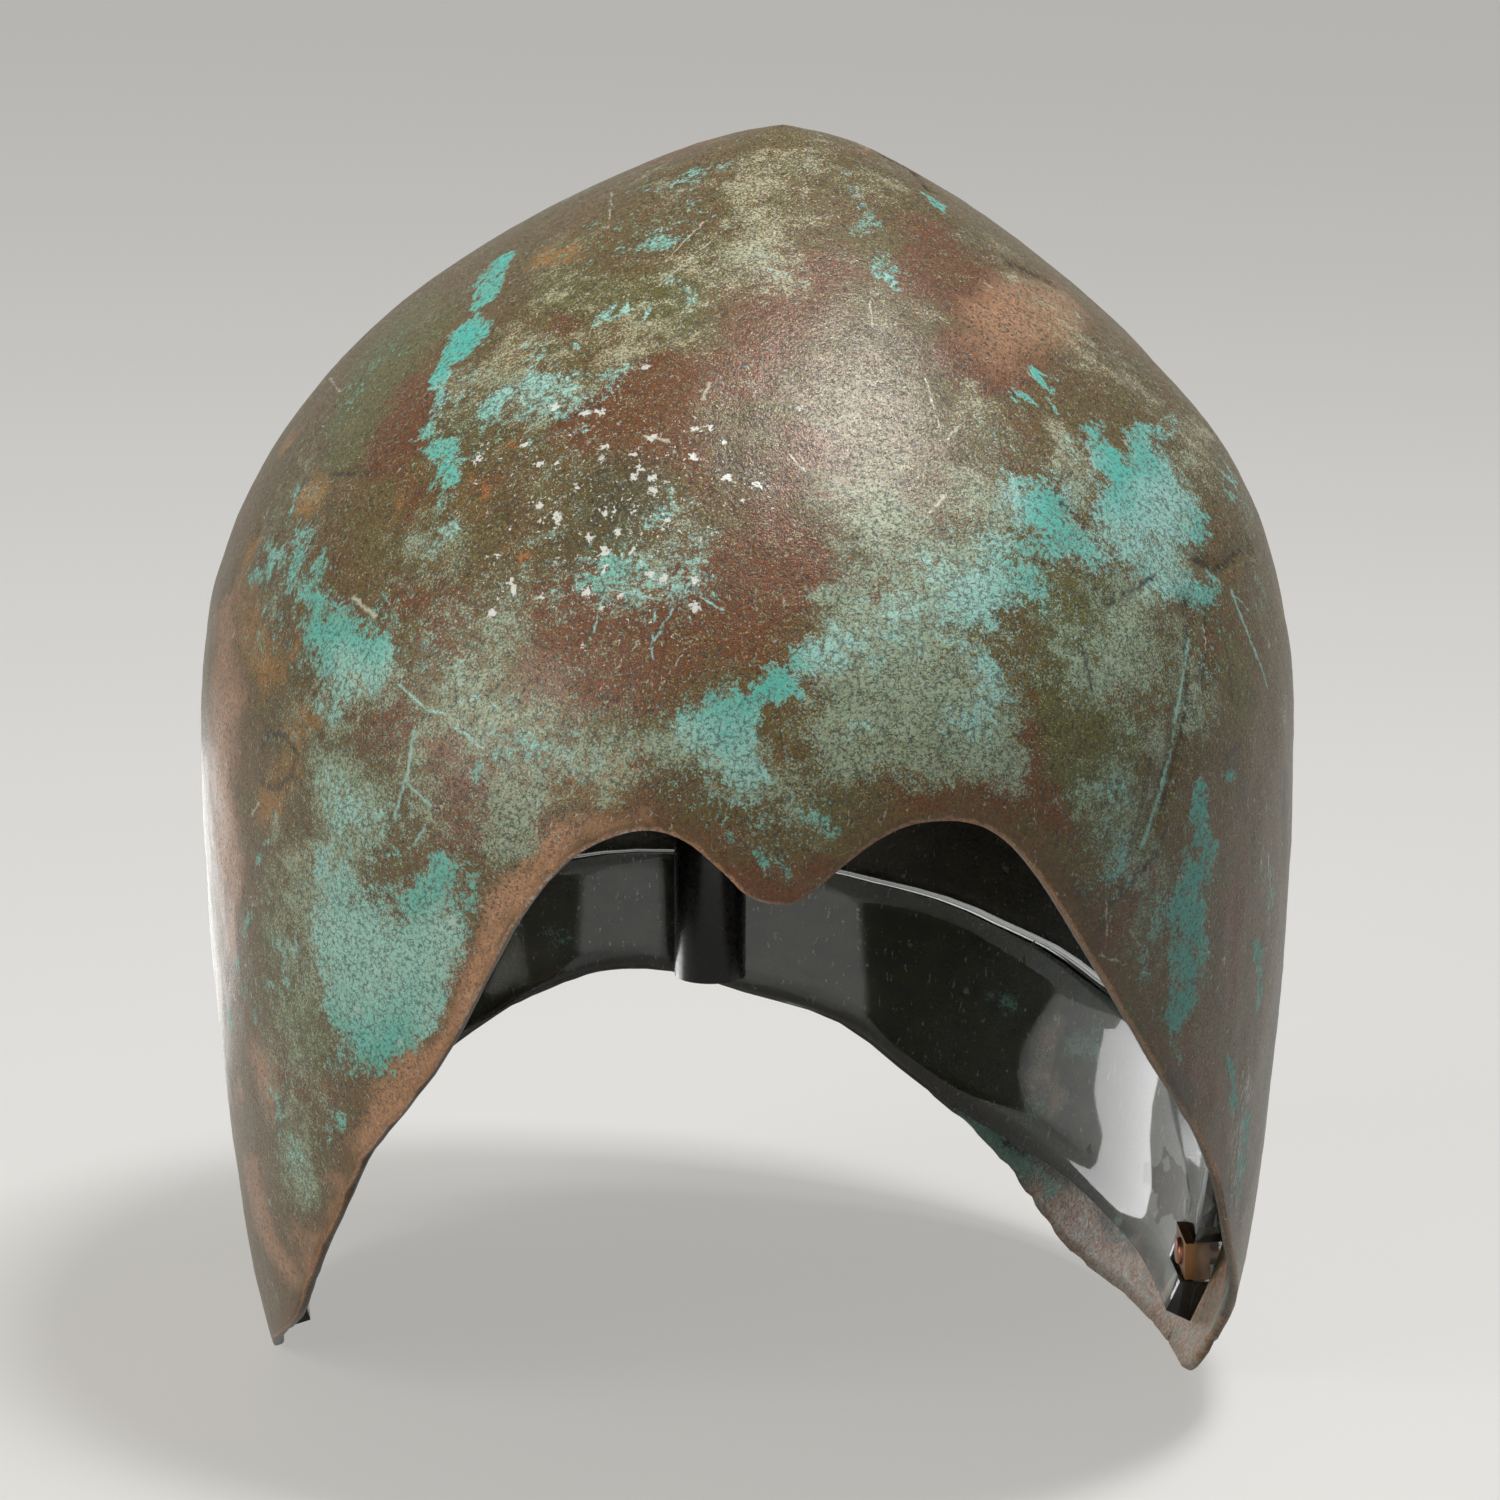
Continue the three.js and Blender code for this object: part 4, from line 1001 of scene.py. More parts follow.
def scratches(nodes, group, place, lines, tree):
    """Strongest of all the given lines at a place, scratches and lines of painted shade alike."""
    total = None
    for x0, y0, x1, y1, width in lines:
        start = point_at(tree, x0, y0) / MM
        along = point_at(tree, x1, y1) / MM - start
        values = {"Place": place, "Start": start, "Along": along, "Width": width}
        values["Scale"] = 1 / along.length_squared
        node = nodes.tree.nodes.new("ShaderNodeGroup")
        node.node_tree = group
        for key, value in values.items():
            if isinstance(value, bpy.types.NodeSocket):
                nodes.tree.links.new(value, node.inputs[key])
            else:
                node.inputs[key].default_value = value
        total = node.outputs[0] if total is None else nodes.math("MAXIMUM", total, node.outputs[0])
    return total


# How much the fine, middle and wide noise each count in a grain
EVEN_GRAIN = (0.3, 0.35, 0.35)
MOSS_GRAIN = (0.5, 0.35, 0.15)
CREAM_GRAIN = (0.55, 0.3, 0.15)
PALE_GRAIN = (0.34, 0.28, 0.38)
TEAL_GRAIN = (0.28, 0.28, 0.44)
PORE_GRAIN = (0.55, 0.45, 0.0)

# Fine cracks, as cells per millimetre and their width in cells
CRACKS = ((0.5, 0.09), (1.0, 0.15))
# Hairlines, as a shift of their noise and its waves per millimetre along each axis
HAIRLINES = ((3.0, (0.05, 0.05, 0.3)), (19.0, (0.24, 0.24, 0.05)), (41.0, (0.1, 0.3, 0.12)))
HAIRLINE_WIDTH = 0.0035
# Chips, as cells per millimetre, how likely a cell holds one, and its size in cells
CHIPS = ((0.4, 0.62, 0.5), (1.1, 0.5, 0.38), (2.0, 0.36, 0.4))
# Heights over which the pale speckle thins towards the crown and turns greener towards the rim
CROWN_THINNING_MM = (140, 200)
GREENER_BELOW_MM = (190, 150)
BRONZE_IOR = 1.55


class Patina:
    """The bronze's colour, layer on layer from the bare metal out. Every layer is made after those that it
    reads, which keeps the shader small for the renderer."""

    def __init__(self, material, tree):
        n = self.n = Nodes(material)
        self.shell = settings().shell
        self.tree = tree
        self.place = n.place()
        self.blotch = self.grain(0.17, 5, 0.0, distortion=0.3, drawn=(0.55, 1.2, 1.2))
        self.other_blotch = self.grain(0.21, 5, 31.0, distortion=0.3, drawn=(0.65, 1.2, 1.2))
        self.flake = self.grain(0.42, 4, 91.0, distortion=0.4)
        self.crumb = self.grain(1.1, 3, 7.0)
        self.other_crumb = self.grain(1.35, 3, 53.0)
        self.speck = self.grain(2.6, 2, 11.0)
        self.other_speck = self.grain(3.0, 2, 71.0)
        self.outer = n.attribute("outer")
        rim = n.smooth(n.attribute("rim_near"), 0.62, 0.9)
        self.off_rim = n.math("SUBTRACT", 1.0, n.math("MULTIPLY", rim, 0.8))
        self.wide_grain = self.weigh(self.speck, self.crumb, self.blotch, EVEN_GRAIN)
        self.other_grain = self.weigh(self.other_speck, self.other_crumb, self.other_blotch, EVEN_GRAIN)

    def grain(self, waves, detail, shift, distortion=0.0, drawn=(1, 1, 1)):
        """Noise from 0 to 1 with so many waves per millimetre, drawn out along the axes."""
        moved = self.n.vector("MULTIPLY_ADD", self.place, drawn, (shift, -shift, shift * 0.7))
        return self.n.spread(self.n.noise(moved, waves, detail, 0.6, distortion), 0.3, 0.7)

    def weigh(self, fine, middle, wide, shares):
        n = self.n
        first = n.math("MULTIPLY", fine, shares[0])
        second = n.math("MULTIPLY_ADD", middle, shares[1], first)
        return n.math("MULTIPLY_ADD", wide, shares[2], second)

    def paint(self, colour, cover, strength, over):
        """The colour with another one over it."""
        return self.n.mix(self.n.math("MULTIPLY", cover, strength), colour, over)

    def bare_metal(self):
        """Brown with olive, red, golden and tan areas that blend softly."""
        n, shell, other_grain = self.n, self.shell, self.other_grain
        base = n.mix(n.cover(other_grain, 0.5, 3.0), shell.brown, n.mix(0.6, shell.brown, shell.olive))
        olive = n.cover(n.attribute("olive"), n.math("MULTIPLY", other_grain, 0.9), 3.0)
        base = n.mix(olive, base, shell.olive)
        red = n.cover(n.attribute("red"), n.math("MULTIPLY", self.wide_grain, 0.95), 3.5)
        base = n.mix(red, base, shell.red_brown)
        gold = n.cover(n.attribute("gold"), n.math("MULTIPLY_ADD", other_grain, 0.8, 0.1), 2.4)
        base = self.paint(base, gold, 0.8, shell.gold)
        tan = n.cover(n.attribute("tan"), n.math("MULTIPLY_ADD", self.wide_grain, 0.8, 0.1), 1.8)
        base = self.paint(base, tan, 0.8, shell.tan)
        near = n.smooth(n.attribute("rim_near"), 0.9, 1.0)
        worn_edge = n.cover(near, n.math("MULTIPLY_ADD", self.crumb, 0.5, 0.2), 3.0)
        base = self.paint(base, worn_edge, 0.7, shell.tan)
        tone = n.math("MULTIPLY_ADD", self.speck, 0.75, n.math("MULTIPLY_ADD", self.crumb, 0.6, 0.35))
        grey = n.add("ShaderNodeCombineColor", {0: tone, 1: tone, 2: tone}).outputs[0]
        return n.mix(1.0, base, grey, "MULTIPLY")

    def fine_grains(self, base):
        """Green grains nearly everywhere, and sparse cream specks."""
        n, shell = self.n, self.shell
        self.teal, self.pale = n.attribute("teal"), n.attribute("pale")
        moss_grain = self.weigh(self.other_speck, self.crumb, self.other_blotch, MOSS_GRAIN)
        moss = n.math("MULTIPLY", n.math("MULTIPLY_ADD", self.other_blotch, 0.2, 0.25), self.off_rim)
        moss = n.math("MULTIPLY_ADD", n.attribute("tan"), -0.2, moss)
        base = self.paint(base, n.cover(moss, moss_grain, 7.0), 0.85, shell.moss)
        cream_grain = self.weigh(self.speck, self.other_crumb, self.other_blotch, CREAM_GRAIN)
        gold = n.attribute("gold")
        cream = n.math("MULTIPLY_ADD", gold, 0.1, n.math("MULTIPLY_ADD", self.blotch, 0.12, 0.2))
        cream = n.cover(n.math("MULTIPLY", cream, self.off_rim), cream_grain, 9.0)
        return self.paint(base, cream, 0.75, shell.cream)

    def pale_speckle(self, base):
        """Cream speckle, greener low on the bowl and where it meets the blue-green."""
        n, shell = self.n, self.shell
        wide = n.math("MULTIPLY_ADD", self.flake, 0.5, n.math("MULTIPLY", self.other_blotch, 0.5))
        self.pale_grain = self.weigh(self.speck, self.other_crumb, wide, PALE_GRAIN)
        level = n.add("ShaderNodeSeparateXYZ", {0: self.place}).outputs[2]
        crown = n.math("MULTIPLY_ADD", n.spread(level, *CROWN_THINNING_MM), -0.16, 0.6)
        reach = n.math("MULTIPLY", self.pale, crown)
        amount = n.math("ADD", reach, n.math("MULTIPLY_ADD", self.blotch, 0.14, 0.12))
        self.pale_cover = n.cover(n.math("MULTIPLY", amount, self.off_rim), self.pale_grain, 7.0)
        greenish = n.math("MULTIPLY_ADD", self.blotch, 0.5, self.teal)
        greenish = n.math("ADD", greenish, n.spread(level, *GREENER_BELOW_MM))
        tone = n.mix(n.cover(greenish, 0.75, 1.2), shell.pale, shell.grey_green)
        return self.paint(base, self.pale_cover, 0.85, tone)

    def blue_green(self, colour):
        """Blue-green corrosion, brightest in its middle and palest where the cream speckle runs through."""
        n, shell = self.n, self.shell
        wide = n.math("MULTIPLY_ADD", self.flake, 0.6, n.math("MULTIPLY", self.blotch, 0.4))
        self.teal_grain = self.weigh(self.other_speck, self.crumb, wide, TEAL_GRAIN)
        amount = n.math("MULTIPLY_ADD", self.teal, 0.78, n.math("MULTIPLY", self.other_blotch, 0.12))
        self.teal_cover = n.cover(n.math("MULTIPLY", amount, self.off_rim), self.teal_grain, 7.0)
        middle = n.math("MULTIPLY_ADD", self.teal, 0.7, n.math("MULTIPLY", self.other_crumb, 0.3))
        fresh = n.mix(n.cover(middle, 0.62, 2.5), shell.teal, shell.bright_teal)
        icy = n.cover(self.pale, n.math("MULTIPLY_ADD", self.other_speck, 0.6, 0.1), 2.0)
        fresh = n.mix(icy, fresh, shell.ice)
        return self.paint(colour, self.teal_cover, 0.88, fresh)

    def dark_marks(self, colour):
        """Pores, fine cracks and dark areas: dark patina, and on the right side painted shade."""
        n, shell = self.n, self.shell
        self.wobbled = n.vector("ADD", self.place, n.stray(self.place, 0.8, 1.4))
        pore_grain = self.weigh(self.other_speck, self.other_crumb, 0.5, PORE_GRAIN)
        pores = n.cover(0.34, pore_grain, 7.0)
        self.pores = n.math("MULTIPLY", pores, n.math("MULTIPLY_ADD", self.teal_cover, -0.45, 1.0))
        colour = self.paint(colour, n.math("MULTIPLY", self.pores, self.off_rim), 0.72, shell.umber)
        lines = []
        for scale, width in CRACKS:
            values = {"Vector": self.wobbled, "Scale": scale}
            cells = n.add("ShaderNodeTexVoronoi", values, feature="DISTANCE_TO_EDGE")
            lines.append(n.smooth(cells.outputs["Distance"], width, 0.0))
        cracks = n.math("MAXIMUM", lines[0], lines[1])
        where = n.cover(n.math("MULTIPLY_ADD", self.pale, 0.25, 0.4), self.other_crumb, 3.0)
        cracks = n.math("MULTIPLY", cracks, where)
        cracks = n.math("MULTIPLY", n.math("MULTIPLY", cracks, self.off_rim), self.outer)
        colour = self.paint(colour, cracks, 0.7, shell.umber)
        # Dark areas: dark patina, and painted shade on the right side.
        dark = n.cover(n.attribute("dark"), n.math("MULTIPLY_ADD", self.other_grain, 0.6, 0.2), 2.0)
        return self.paint(colour, dark, 0.7, shell.umber)

    def inside(self, colour):
        """Inside of the bowl, painted dark as the shade in its hollow, with the bright and blue-green crust
        that shows below the liner; the bright crust is partly painted light.
        """
        n, shell, umber = self.n, self.shell, self.shell.umber
        # Painted shade: umber, olive and red brown darken the whole inside, for the shade in the bowl's
        # hollow.
        inner = n.mix(self.blotch, umber, n.mix(0.45, umber, shell.olive))
        inner = n.mix(n.cover(0.25, self.other_grain, 3.0), inner, n.mix(0.55, umber, shell.red_brown))
        crumbs = n.cover(self.crumb, 0.5, 4.0)
        # Bright crust of the inner tip, partly painted light where the light falls on it.
        bright = n.mix(crumbs, n.mix(0.8, shell.tan, shell.orange), n.mix(0.45, shell.tan, shell.chalk))
        bright = n.mix(n.cover(0.36, self.teal_grain, 5.0), bright, shell.teal)
        crust_and_light_cover = n.cover(n.attribute("inner_crust_and_light"), n.math("MULTIPLY", self.wide_grain, 0.7), 3.0)
        inner = n.mix(crust_and_light_cover, inner, bright)
        teal_cover = n.cover(n.attribute("inner_teal"), self.other_grain, 3.0)
        inner = n.mix(teal_cover, inner, n.mix(0.25, shell.teal, shell.olive))
        lime = n.math("MULTIPLY", n.attribute("inner_chalk"), 0.5)
        inner = n.mix(n.cover(lime, self.pale_grain, 6.0), inner, shell.chalk)
        return n.mix(n.math("SUBTRACT", 1.0, self.outer), colour, inner)

    def scratches_and_crease_shade(self, colour):
        """Scratches, blue-green or bare in them, and dark lines, mostly painted shade along the creases."""
        n, shell = self.n, self.shell
        group = line_group()
        teal = scratches(n, group, self.wobbled, TEAL_SCRATCHES, self.tree)
        teal = n.math("MULTIPLY", teal, n.smooth(self.speck, 0.05, 0.5))
        light = scratches(n, group, self.wobbled, LIGHT_SCRATCHES, self.tree)
        light = n.math("MULTIPLY", light, n.smooth(self.speck, 0.0, 0.4))
        # Dark lines, most of them painted shade along the creases and grooves.
        dark = scratches(n, group, self.wobbled, CREASE_SHADE_AND_DARK_LINES, self.tree)
        dark = n.math("MULTIPLY", dark, n.smooth(self.crumb, 0.1, 0.6))
        colour = self.paint(colour, n.math("MULTIPLY", dark, self.outer), 0.8, shell.umber)
        colour = self.paint(colour, teal, self.outer, n.mix(0.35, shell.bright_teal, shell.chalk))
        light = n.math("MULTIPLY", light, self.outer)
        return self.paint(colour, light, 0.8, n.mix(0.4, shell.pale, shell.chalk))

    def hairlines(self, colour):
        """Very thin wavy scratches all over."""
        n, shell = self.n, self.shell
        hair = None
        for shift, stretch in HAIRLINES:
            moved = n.vector("ADD", self.place, (shift, shift, -shift))
            field = n.noise(n.vector("MULTIPLY", moved, stretch), 1.0, 1, 0.4)
            thin = n.smooth(n.math("ABSOLUTE", n.math("SUBTRACT", field, 0.5)), HAIRLINE_WIDTH, 0.0)
            hair = n.math("MAXIMUM", hair, thin) if hair else thin
        hair = n.math("MULTIPLY", hair, n.cover(0.42, self.other_blotch, 3.0))
        hair = n.math("MULTIPLY", n.math("MULTIPLY", hair, self.outer), n.smooth(self.other_speck, 0.1, 0.7))
        return self.paint(colour, hair, 0.6, n.mix(0.4, shell.pale, shell.tan))

    def flecks_and_streaks(self, colour):
        """Orange rust flecks, and the upright light streaks at the right."""
        n, shell = self.n, self.shell
        flecks = n.cover(n.attribute("orange"), n.math("MULTIPLY_ADD", self.speck, 0.6, 0.3), 4.0)
        colour = n.mix(flecks, colour, shell.orange)
        upright = n.vector("MULTIPLY", self.wobbled, (1.0, 1.0, 0.28))
        streak_grain = n.spread(n.noise(upright, 1.5, 3, 0.6), 0.32, 0.68)
        streaks = n.cover(n.math("MULTIPLY", n.attribute("streak"), 0.42), streak_grain, 6.0)
        return self.paint(colour, streaks, 0.75, n.mix(0.35, shell.chalk, shell.ice))

    def edge_and_chips(self, colour):
        """Light worn edge of the arches, and white chips of three sizes."""
        n, shell = self.n, self.shell
        shaken = n.vector("ADD", self.wobbled, n.stray(self.place, 1.5, 1.8))
        near = n.smooth(n.attribute("rim_near"), 0.93, 0.985)
        edge = n.math("MULTIPLY", near, n.attribute("bright_edge"))
        tone = n.mix(n.cover(0.42, self.other_crumb, 8.0), shell.tan, shell.chalk)
        colour = self.paint(colour, edge, 0.85, tone)
        self.chipped = None
        for scale, likely, size in CHIPS:
            cells = n.add("ShaderNodeTexVoronoi", {"Vector": shaken, "Scale": scale}, feature="F1").outputs
            chance = n.add("ShaderNodeSeparateColor", {0: cells["Color"]}).outputs[0]
            kept = n.cover(n.math("MULTIPLY", n.attribute("chalk"), likely), chance, 40.0)
            reach = n.math("MULTIPLY", n.math("MULTIPLY_ADD", self.other_crumb, 0.8, 0.2), size)
            chip = n.math("MULTIPLY", kept, n.cover(reach, cells["Distance"], 10.0))
            self.chipped = n.math("MAXIMUM", self.chipped, chip) if self.chipped else chip
        return self.paint(colour, self.chipped, 0.92, shell.chalk)

    def metal(self, colour):
        """Shader of the bronze: bare metal has a soft sheen and the crusts are duller and stand proud."""
        n, shell = self.n, self.shell
        crust = n.math("MAXIMUM", self.teal_cover, n.math("MULTIPLY", self.pale_cover, 0.8))
        roughness = n.math("MULTIPLY_ADD", self.other_speck, 0.08, shell.sheen_roughness)
        roughness = n.math("MULTIPLY_ADD", crust, 0.12, roughness)
        metallic = n.math("SUBTRACT", 1.0, n.math("MULTIPLY", crust, 0.8))
        metallic = n.math("MULTIPLY", metallic, shell.metal_share)
        height = n.math("MULTIPLY_ADD", crust, 0.7, n.math("MULTIPLY", self.speck, 0.6))
        for layer, lift in ((self.other_crumb, 0.9), (self.pores, -0.8), (self.chipped, 1.6)):
            height = n.math("MULTIPLY_ADD", layer, lift, height)
        bump = n.add("ShaderNodeBump", {"Strength": 1.0, "Distance": shell.grain_height, "Height": height})
        values = {
            "Base Color": colour,
            "Roughness": roughness,
            "Metallic": metallic,
            "IOR": BRONZE_IOR,
            "Normal": bump.outputs[0],
        }
        return n.add("ShaderNodeBsdfPrincipled", values).outputs[0]


def bronze_material(tree):
    """Bare bronze under its patina, scratches and chips."""
    material = bpy.data.materials.new("weathered_bronze")
    patina = Patina(material, tree)
    colour = patina.bare_metal()
    for layer in (
        patina.fine_grains, patina.pale_speckle, patina.blue_green, patina.dark_marks, patina.inside,
        patina.scratches_and_crease_shade, patina.hairlines, patina.flecks_and_streaks, patina.edge_and_chips,
    ):
        colour = layer(colour)
    patina.n.finish(patina.metal(colour))
    return material


ACRYLIC_IOR = 1.49


def clear_material():
    """Clear sheet with a faint haze, which lets the light of the lamps pass."""
    liner = settings().liner
    material = bpy.data.materials.new("clear_acrylic")
    n = Nodes(material)
    haze = n.noise(n.place(), 0.05, 3)
    values = {
        "Base Color": tuple(liner.tint),
        "Roughness": n.math("MULTIPLY_ADD", haze, 0.03, liner.roughness),
        "IOR": ACRYLIC_IOR,
        "Transmission Weight": 1.0,
    }
    glass = n.add("ShaderNodeBsdfPrincipled", values)
    passing = n.add("ShaderNodeBsdfTransparent", {"Color": tuple(liner.tint)})
    shadow = n.add("ShaderNodeLightPath").outputs["Is Shadow Ray"]
    both = n.add("ShaderNodeMixShader", {0: shadow, 1: glass.outputs[0], 2: passing.outputs[0]})
    n.finish(both.outputs[0])
    return material


def metal_material(name, colour, roughness, metallic, grain_scale, grain_depth):
    """Metal or paint with a fine grain in its colour, roughness and bump."""
    material = bpy.data.materials.new(name)
    n = Nodes(material)
    place = n.place()
    wide = n.spread(n.noise(place, grain_scale * 0.2, 3), 0.3, 0.7)
    fine = n.spread(n.noise(place, grain_scale, 3, 0.6), 0.3, 0.7)
    dull = tuple(c * 0.72 for c in colour)
    tone = n.mix(n.math("MULTIPLY_ADD", wide, 0.5, n.math("MULTIPLY", fine, 0.3)), dull, tuple(colour))
    bump = n.add("ShaderNodeBump", {"Strength": 0.5, "Distance": grain_depth, "Height": fine})
    values = {
        "Base Color": tone,
        "Roughness": n.math("MULTIPLY_ADD", fine, 0.12, roughness),
        "Metallic": metallic,
        "Normal": bump.outputs[0],
    }
    n.finish(n.add("ShaderNodeBsdfPrincipled", values).outputs[0])
    return material


class HELMET_OT_bronze_shell(bpy.types.Operator):
    """Make the weathered bronze bowl"""

    bl_idname = "helmet.bronze_shell"
    bl_label = "Bronze shell"

    def execute(self, context):
        tree = surface_tree(cad_copy("helmet_shell"))
        mesh, samples = refined_shell()
        weather(mesh, samples, tree)
        for polygon in mesh.polygons:
            polygon.use_smooth = True
        mesh.materials.clear()
        mesh.materials.append(bronze_material(finished_tree(mesh)))
        piece = bpy.data.objects.new("bronze_shell", mesh)
        context.scene.collection.objects.link(piece)
        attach(piece, "helmet_on_liner")
        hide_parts("helmet_shell")
        return {"FINISHED"}


# Edges that turn by more than these are rounded on the sheet, the turned pieces and the pins
SHEET_EDGE_TURN = math.radians(50)
CRISP_EDGE_TURN = math.radians(60)
PIN_EDGE_TURN = math.radians(40)
SHEET_SHARP_TURN = math.radians(35)
PIECE_SHARP_TURN = math.radians(32)
FLAT_FACE_TURN = math.radians(1)
ANY_SHAPE_TURN = math.radians(180)
ROD_EDGE = 0.25 * MM
SCREW_EDGE = 0.12 * MM
PIN_EDGE = 0.15 * MM


def round_edges(bm, limit, width):
    """Rounds the edges that turn by more than the limit."""
    crisp = [edge for edge in bm.edges if edge.calc_face_angle(0) > limit]
    bmesh.ops.bevel(
        bm, geom=crisp, offset=width, segments=2, affect="EDGES", profile=0.5, material=-1,
        offset_type="OFFSET", clamp_overlap=True,
    )


def bevelled_copy(node, limit, width):
    """Copy of a small turned or milled piece with its edges broken."""
    bm = cad_copy(node)
    bmesh.ops.join_triangles(
        bm, faces=bm.faces, angle_face_threshold=FLAT_FACE_TURN, angle_shape_threshold=ANY_SHAPE_TURN
    )
    round_edges(bm, limit, width)
    mark_sharp(bm, PIECE_SHARP_TURN)
    return bm


class HELMET_OT_clear_liner(bpy.types.Operator):
    """Make the bent clear liner with polished edges"""

    bl_idname = "helmet.clear_liner"
    bl_label = "Clear liner"

    def execute(self, context):
        bm = cad_copy("support_liner")
        bmesh.ops.join_triangles(
            bm, faces=bm.faces, angle_face_threshold=QUAD_FACE_TURN, angle_shape_threshold=QUAD_SHAPE_TURN
        )
        round_edges(bm, SHEET_EDGE_TURN, settings().liner.edge_round)
        mark_sharp(bm, SHEET_SHARP_TURN)
        piece = new_piece("clear_liner", bm, "helmet_on_liner", clear_material())
        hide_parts("support_liner")
        return {"FINISHED"}


class HELMET_OT_upright_rod(bpy.types.Operator):
    """Make the black upright at the nape and its screws"""

    bl_idname = "helmet.upright_rod"
    bl_label = "Upright rod and screws"

    def execute(self, context):
        rod = settings().rod
        paint = metal_material(
            "gloss_black", rod.black, rod.roughness, metallic=0.0, grain_scale=0.8, grain_depth=0.01 * MM
        )
        steel = metal_material(
            "screw_steel", rod.steel, roughness=0.3, metallic=1.0, grain_scale=4.0, grain_depth=0.01 * MM
        )
        bm = bevelled_copy("upright_rod", CRISP_EDGE_TURN, ROD_EDGE)
        piece = new_piece("black_upright", bm, "helmet_on_liner", paint)
        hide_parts("upright_rod")
        for node in ("rod_screw_lower", "rod_screw_upper"):
            bm = bevelled_copy(node, CRISP_EDGE_TURN, SCREW_EDGE)
            piece = new_piece(node + "_turned", bm, "helmet_on_liner", steel)
            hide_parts(node)
        return {"FINISHED"}


class HELMET_OT_cheek_fastenings(bpy.types.Operator):
    """Make the brass blocks and the copper-coloured pins"""

    bl_idname = "helmet.cheek_fastenings"
    bl_label = "Cheek blocks and pins"

    def execute(self, context):
        fastening = settings().fastening
        finish = {"metallic": 0.9, "grain_scale": 3.0, "grain_depth": 0.015 * MM}
        brass = metal_material("machined_brass", fastening.brass, roughness=0.3, **finish)
        copper = metal_material("satin_copper", fastening.copper, roughness=0.32, **finish)
        for side in ("left", "right"):
            bm = bevelled_copy(f"{side}_cheek_block", CRISP_EDGE_TURN, fastening.edge_round)
            piece = new_piece(f"{side}_brass_block", bm, "helmet_on_liner", brass)
            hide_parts(f"{side}_cheek_block")
            bm = bevelled_copy(f"{side}_cheek_pin", PIN_EDGE_TURN, PIN_EDGE)
            piece = new_piece(f"{side}_copper_pin", bm, f"{side}_pin", copper)
            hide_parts(f"{side}_cheek_pin")
        return {"FINISHED"}


def area_lamp(name, place, aim, size, power, tone, mirrored=True):
    """Square lamp at a place, turned to its aim, that shows in glossy faces where it is mirrored."""
    data = bpy.data.lights.new(name, "AREA")
    data.size = size
    data.energy = power
    data.color = tone
    lamp = bpy.data.objects.new(name, data)
    lamp.location = place
    lamp.rotation_euler = (Vector(aim) - Vector(place)).to_track_quat("-Z", "Y").to_euler()
    lamp.visible_glossy = mirrored
    bpy.context.scene.collection.objects.link(lamp)


def mirrored_from(tree, x, y, distance):
    """Place from which a lamp shows as a highlight at a pixel of the photograph, and that pixel's place."""
    place = point_at(tree, x, y)
    away = pixel_ray(x, y)[1]
    normal = Vector()
    steps = (-HIGHLIGHT_SPREAD_PIXELS, 0, HIGHLIGHT_SPREAD_PIXELS)
    for step_x in steps:
        for step_y in steps:
            facet = tree.ray_cast(*pixel_ray(x + step_x, y + step_y))[1]
            if facet is not None:
                normal += facet if facet.dot(away) < 0 else -facet
    normal.normalize()
    bounced = away - 2 * away.dot(normal) * normal
    return place + bounced * distance, place


def glint_card(strength):
    """White card that only shows as the four-sided reflection in the clear liner."""
    bm = bmesh.new()
    corners = [bm.verts.new((x, y, CARD_LIFT)) for x, y in CARD_FOOT]
    bm.faces.new(corners)
    far_edge = bm.edges.get(corners[1:3])
    risen = bmesh.ops.extrude_edge_only(bm, edges=[far_edge])["geom"]
    raised = [part for part in risen if isinstance(part, bmesh.types.BMVert)]
    bmesh.ops.translate(bm, verts=raised, vec=(0, 0, CARD_RISE))
    material = bpy.data.materials.new("white_card")
    n = Nodes(material)
    n.finish(n.add("ShaderNodeEmission", {"Color": (1, 1, 1), "Strength": strength}).outputs[0])
    card = stage_piece("glint_card", bm, material)
    card.visible_camera = card.visible_diffuse = card.visible_shadow = card.visible_transmission = False


def stage_piece(name, bm, material):
    """Object of the stage, which doesn't belong to the helmet."""
    mesh = bpy.data.meshes.new(name)
    bm.to_mesh(mesh)
    bm.free()
    mesh.materials.append(material)
    piece = bpy.data.objects.new(name, mesh)
    bpy.context.scene.collection.objects.link(piece)
    return piece


def photo_camera(scene):
    """Camera at the photograph's place and angle."""
    centre, right, up, back = camera_frame()
    data = bpy.data.cameras.new("photo_view")
    data.sensor_width = SENSOR_MM
    data.lens = SENSOR_MM * PIXELS_PER_MM / MM * settings().stage.view_distance / PHOTO_PIXELS
    data.clip_start, data.clip_end = NEAREST_SEEN, FARTHEST_SEEN
    camera = bpy.data.objects.new("photo_view", data)
    turned = Matrix((right, up, back)).transposed()
    camera.matrix_world = Matrix.Translation(centre) @ turned.to_4x4()
    scene.collection.objects.link(camera)
    scene.camera = camera


def pale_backdrop(scene):
    """World that lights the helmet faintly and shows pale to the eye, also in a gloss or through glass."""
    faint = settings().stage.world_light
    scene.world = bpy.data.worlds.new("studio")
    n = Nodes(scene.world)
    strength = n.math("MULTIPLY_ADD", n.seen_by_eye(), BACKDROP_TONE - faint, faint)
    backdrop = n.add("ShaderNodeBackground", {"Color": BACKDROP_TINT, "Strength": strength})
    n.add("ShaderNodeOutputWorld", {"Surface": backdrop.outputs[0]})


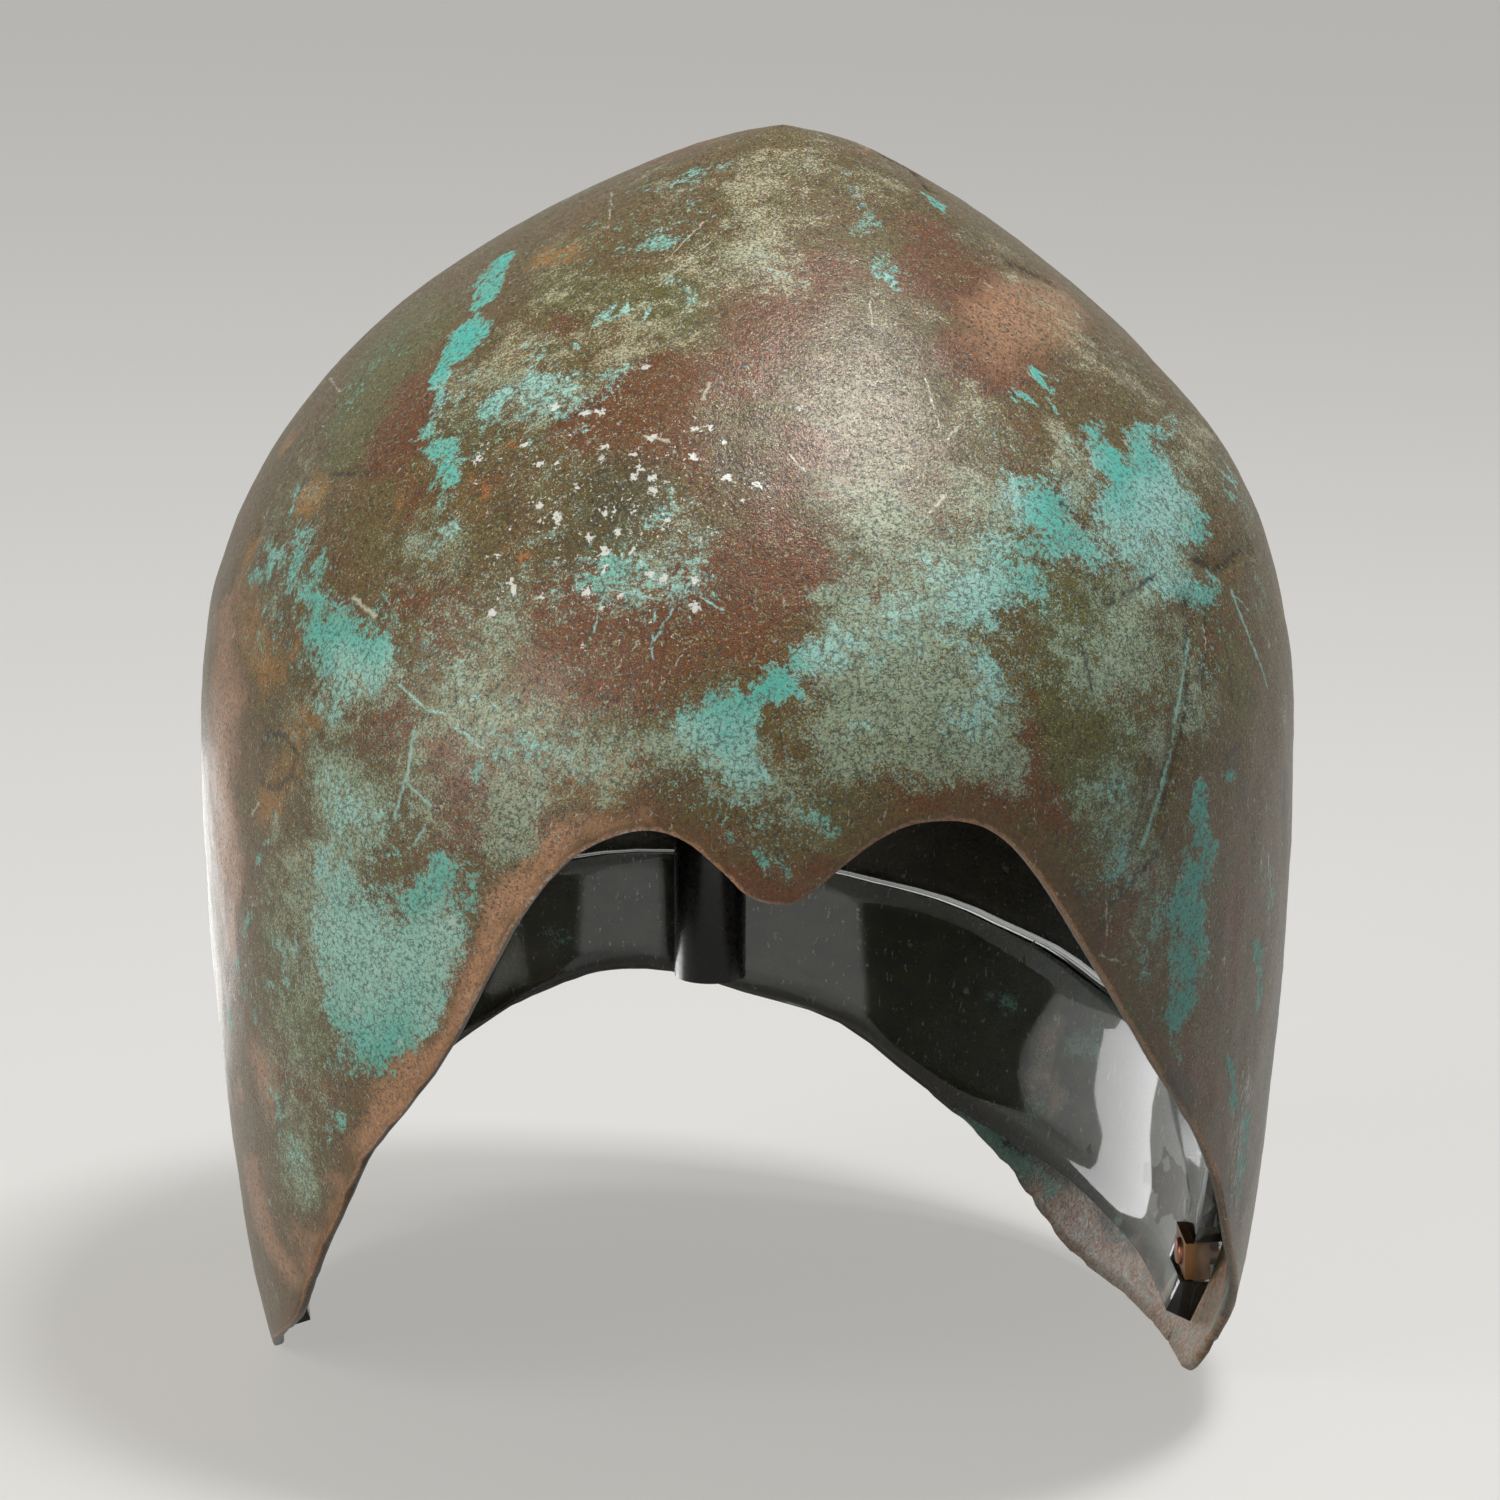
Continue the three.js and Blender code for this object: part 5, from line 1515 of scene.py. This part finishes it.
def floor_paper():
    """Pale paper that takes the helmet's shadow, glows a little to the eye and throws little light back."""
    material = bpy.data.materials.new("floor_paper")
    n = Nodes(material)
    fibres = n.noise(n.place(), 0.9, 3)
    pale = tuple(settings().stage.floor_colour)
    shade = n.mix(n.math("MULTIPLY", fibres, FLOOR_FIBRE_SHARE), pale, FLOOR_FIBRE_TONE)
    bounced = n.add("ShaderNodeLightPath").outputs["Is Diffuse Ray"]
    paper = n.add("ShaderNodeBsdfDiffuse", {"Color": n.mix(bounced, shade, FLOOR_BOUNCE)})
    glow = n.add("ShaderNodeEmission", {"Color": shade, "Strength": 1.0})
    share = n.math("MULTIPLY", n.seen_by_eye(), FLOOR_GLOW_SHARE)
    n.finish(n.add("ShaderNodeMixShader", {0: share, 1: paper.outputs[0], 2: glow.outputs[0]}).outputs[0])
    return material


class HELMET_OT_stage(bpy.types.Operator):
    """Make the camera, the lamps and the floor"""

    bl_idname = "helmet.stage"
    bl_label = "Stage"

    def execute(self, context):
        stage = settings().stage
        context.scene.view_settings.view_transform = "Standard"
        photo_camera(context.scene)
        tree = surface_tree(cad_copy("helmet_shell"))
        place, aim = mirrored_from(tree, *HIGHLIGHT_PIXEL, KEY_DISTANCE)
        area_lamp("key_lamp", place, aim, KEY_SIZE, stage.key_power, KEY_TONE)
        area_lamp("left_lamp", LEFT_LAMP_PLACE, LAMP_AIM, LEFT_LAMP_SIZE, stage.fill_power, LEFT_LAMP_TONE)
        area_lamp(
            "right_lamp", RIGHT_LAMP_PLACE, LAMP_AIM, RIGHT_LAMP_SIZE, stage.side_power, RIGHT_LAMP_TONE,
            mirrored=False,
        )
        glint_card(stage.glint_light)
        pale_backdrop(context.scene)
        bm = bmesh.new()
        bmesh.ops.create_grid(bm, x_segments=1, y_segments=1, size=FLOOR_REACH)
        stage_piece("floor", bm, floor_paper())
        return {"FINISHED"}


class HELMET_PT_panel(bpy.types.Panel):
    """Buttons and settings of the helmet"""

    bl_idname = "HELMET_PT_panel"
    bl_label = "Bronze helmet"
    bl_space_type = "VIEW_3D"
    bl_region_type = "UI"
    bl_category = "Helmet"

    def draw(self, context):
        layout = self.layout
        for operator in OPERATORS:
            layout.operator(operator.bl_idname)
        for group in ("shell", "liner", "rod", "fastening", "stage"):
            box = layout.box()
            values = getattr(context.scene.helmet_settings, group)
            for name in values.__annotations__:
                box.prop(values, name)


OPERATORS = (
    HELMET_OT_bronze_shell, HELMET_OT_clear_liner, HELMET_OT_upright_rod, HELMET_OT_cheek_fastenings,
    HELMET_OT_stage,
)
CLASSES = (
    BronzeShellSettings, ClearLinerSettings, RodSettings, FasteningSettings, StageSettings, HelmetSettings,
    *OPERATORS, HELMET_PT_panel,
)


def register():
    for item in CLASSES:
        bpy.utils.register_class(item)
    bpy.types.Scene.helmet_settings = PointerProperty(type=HelmetSettings)


def unregister():
    del bpy.types.Scene.helmet_settings
    for item in reversed(CLASSES):
        bpy.utils.unregister_class(item)


def main():
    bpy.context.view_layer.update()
    register()
    bpy.ops.helmet.bronze_shell()
    bpy.ops.helmet.clear_liner()
    bpy.ops.helmet.upright_rod()
    bpy.ops.helmet.cheek_fastenings()
    bpy.ops.helmet.stage()
    bpy.context.view_layer.update()


if __name__ == "__main__":
    main()
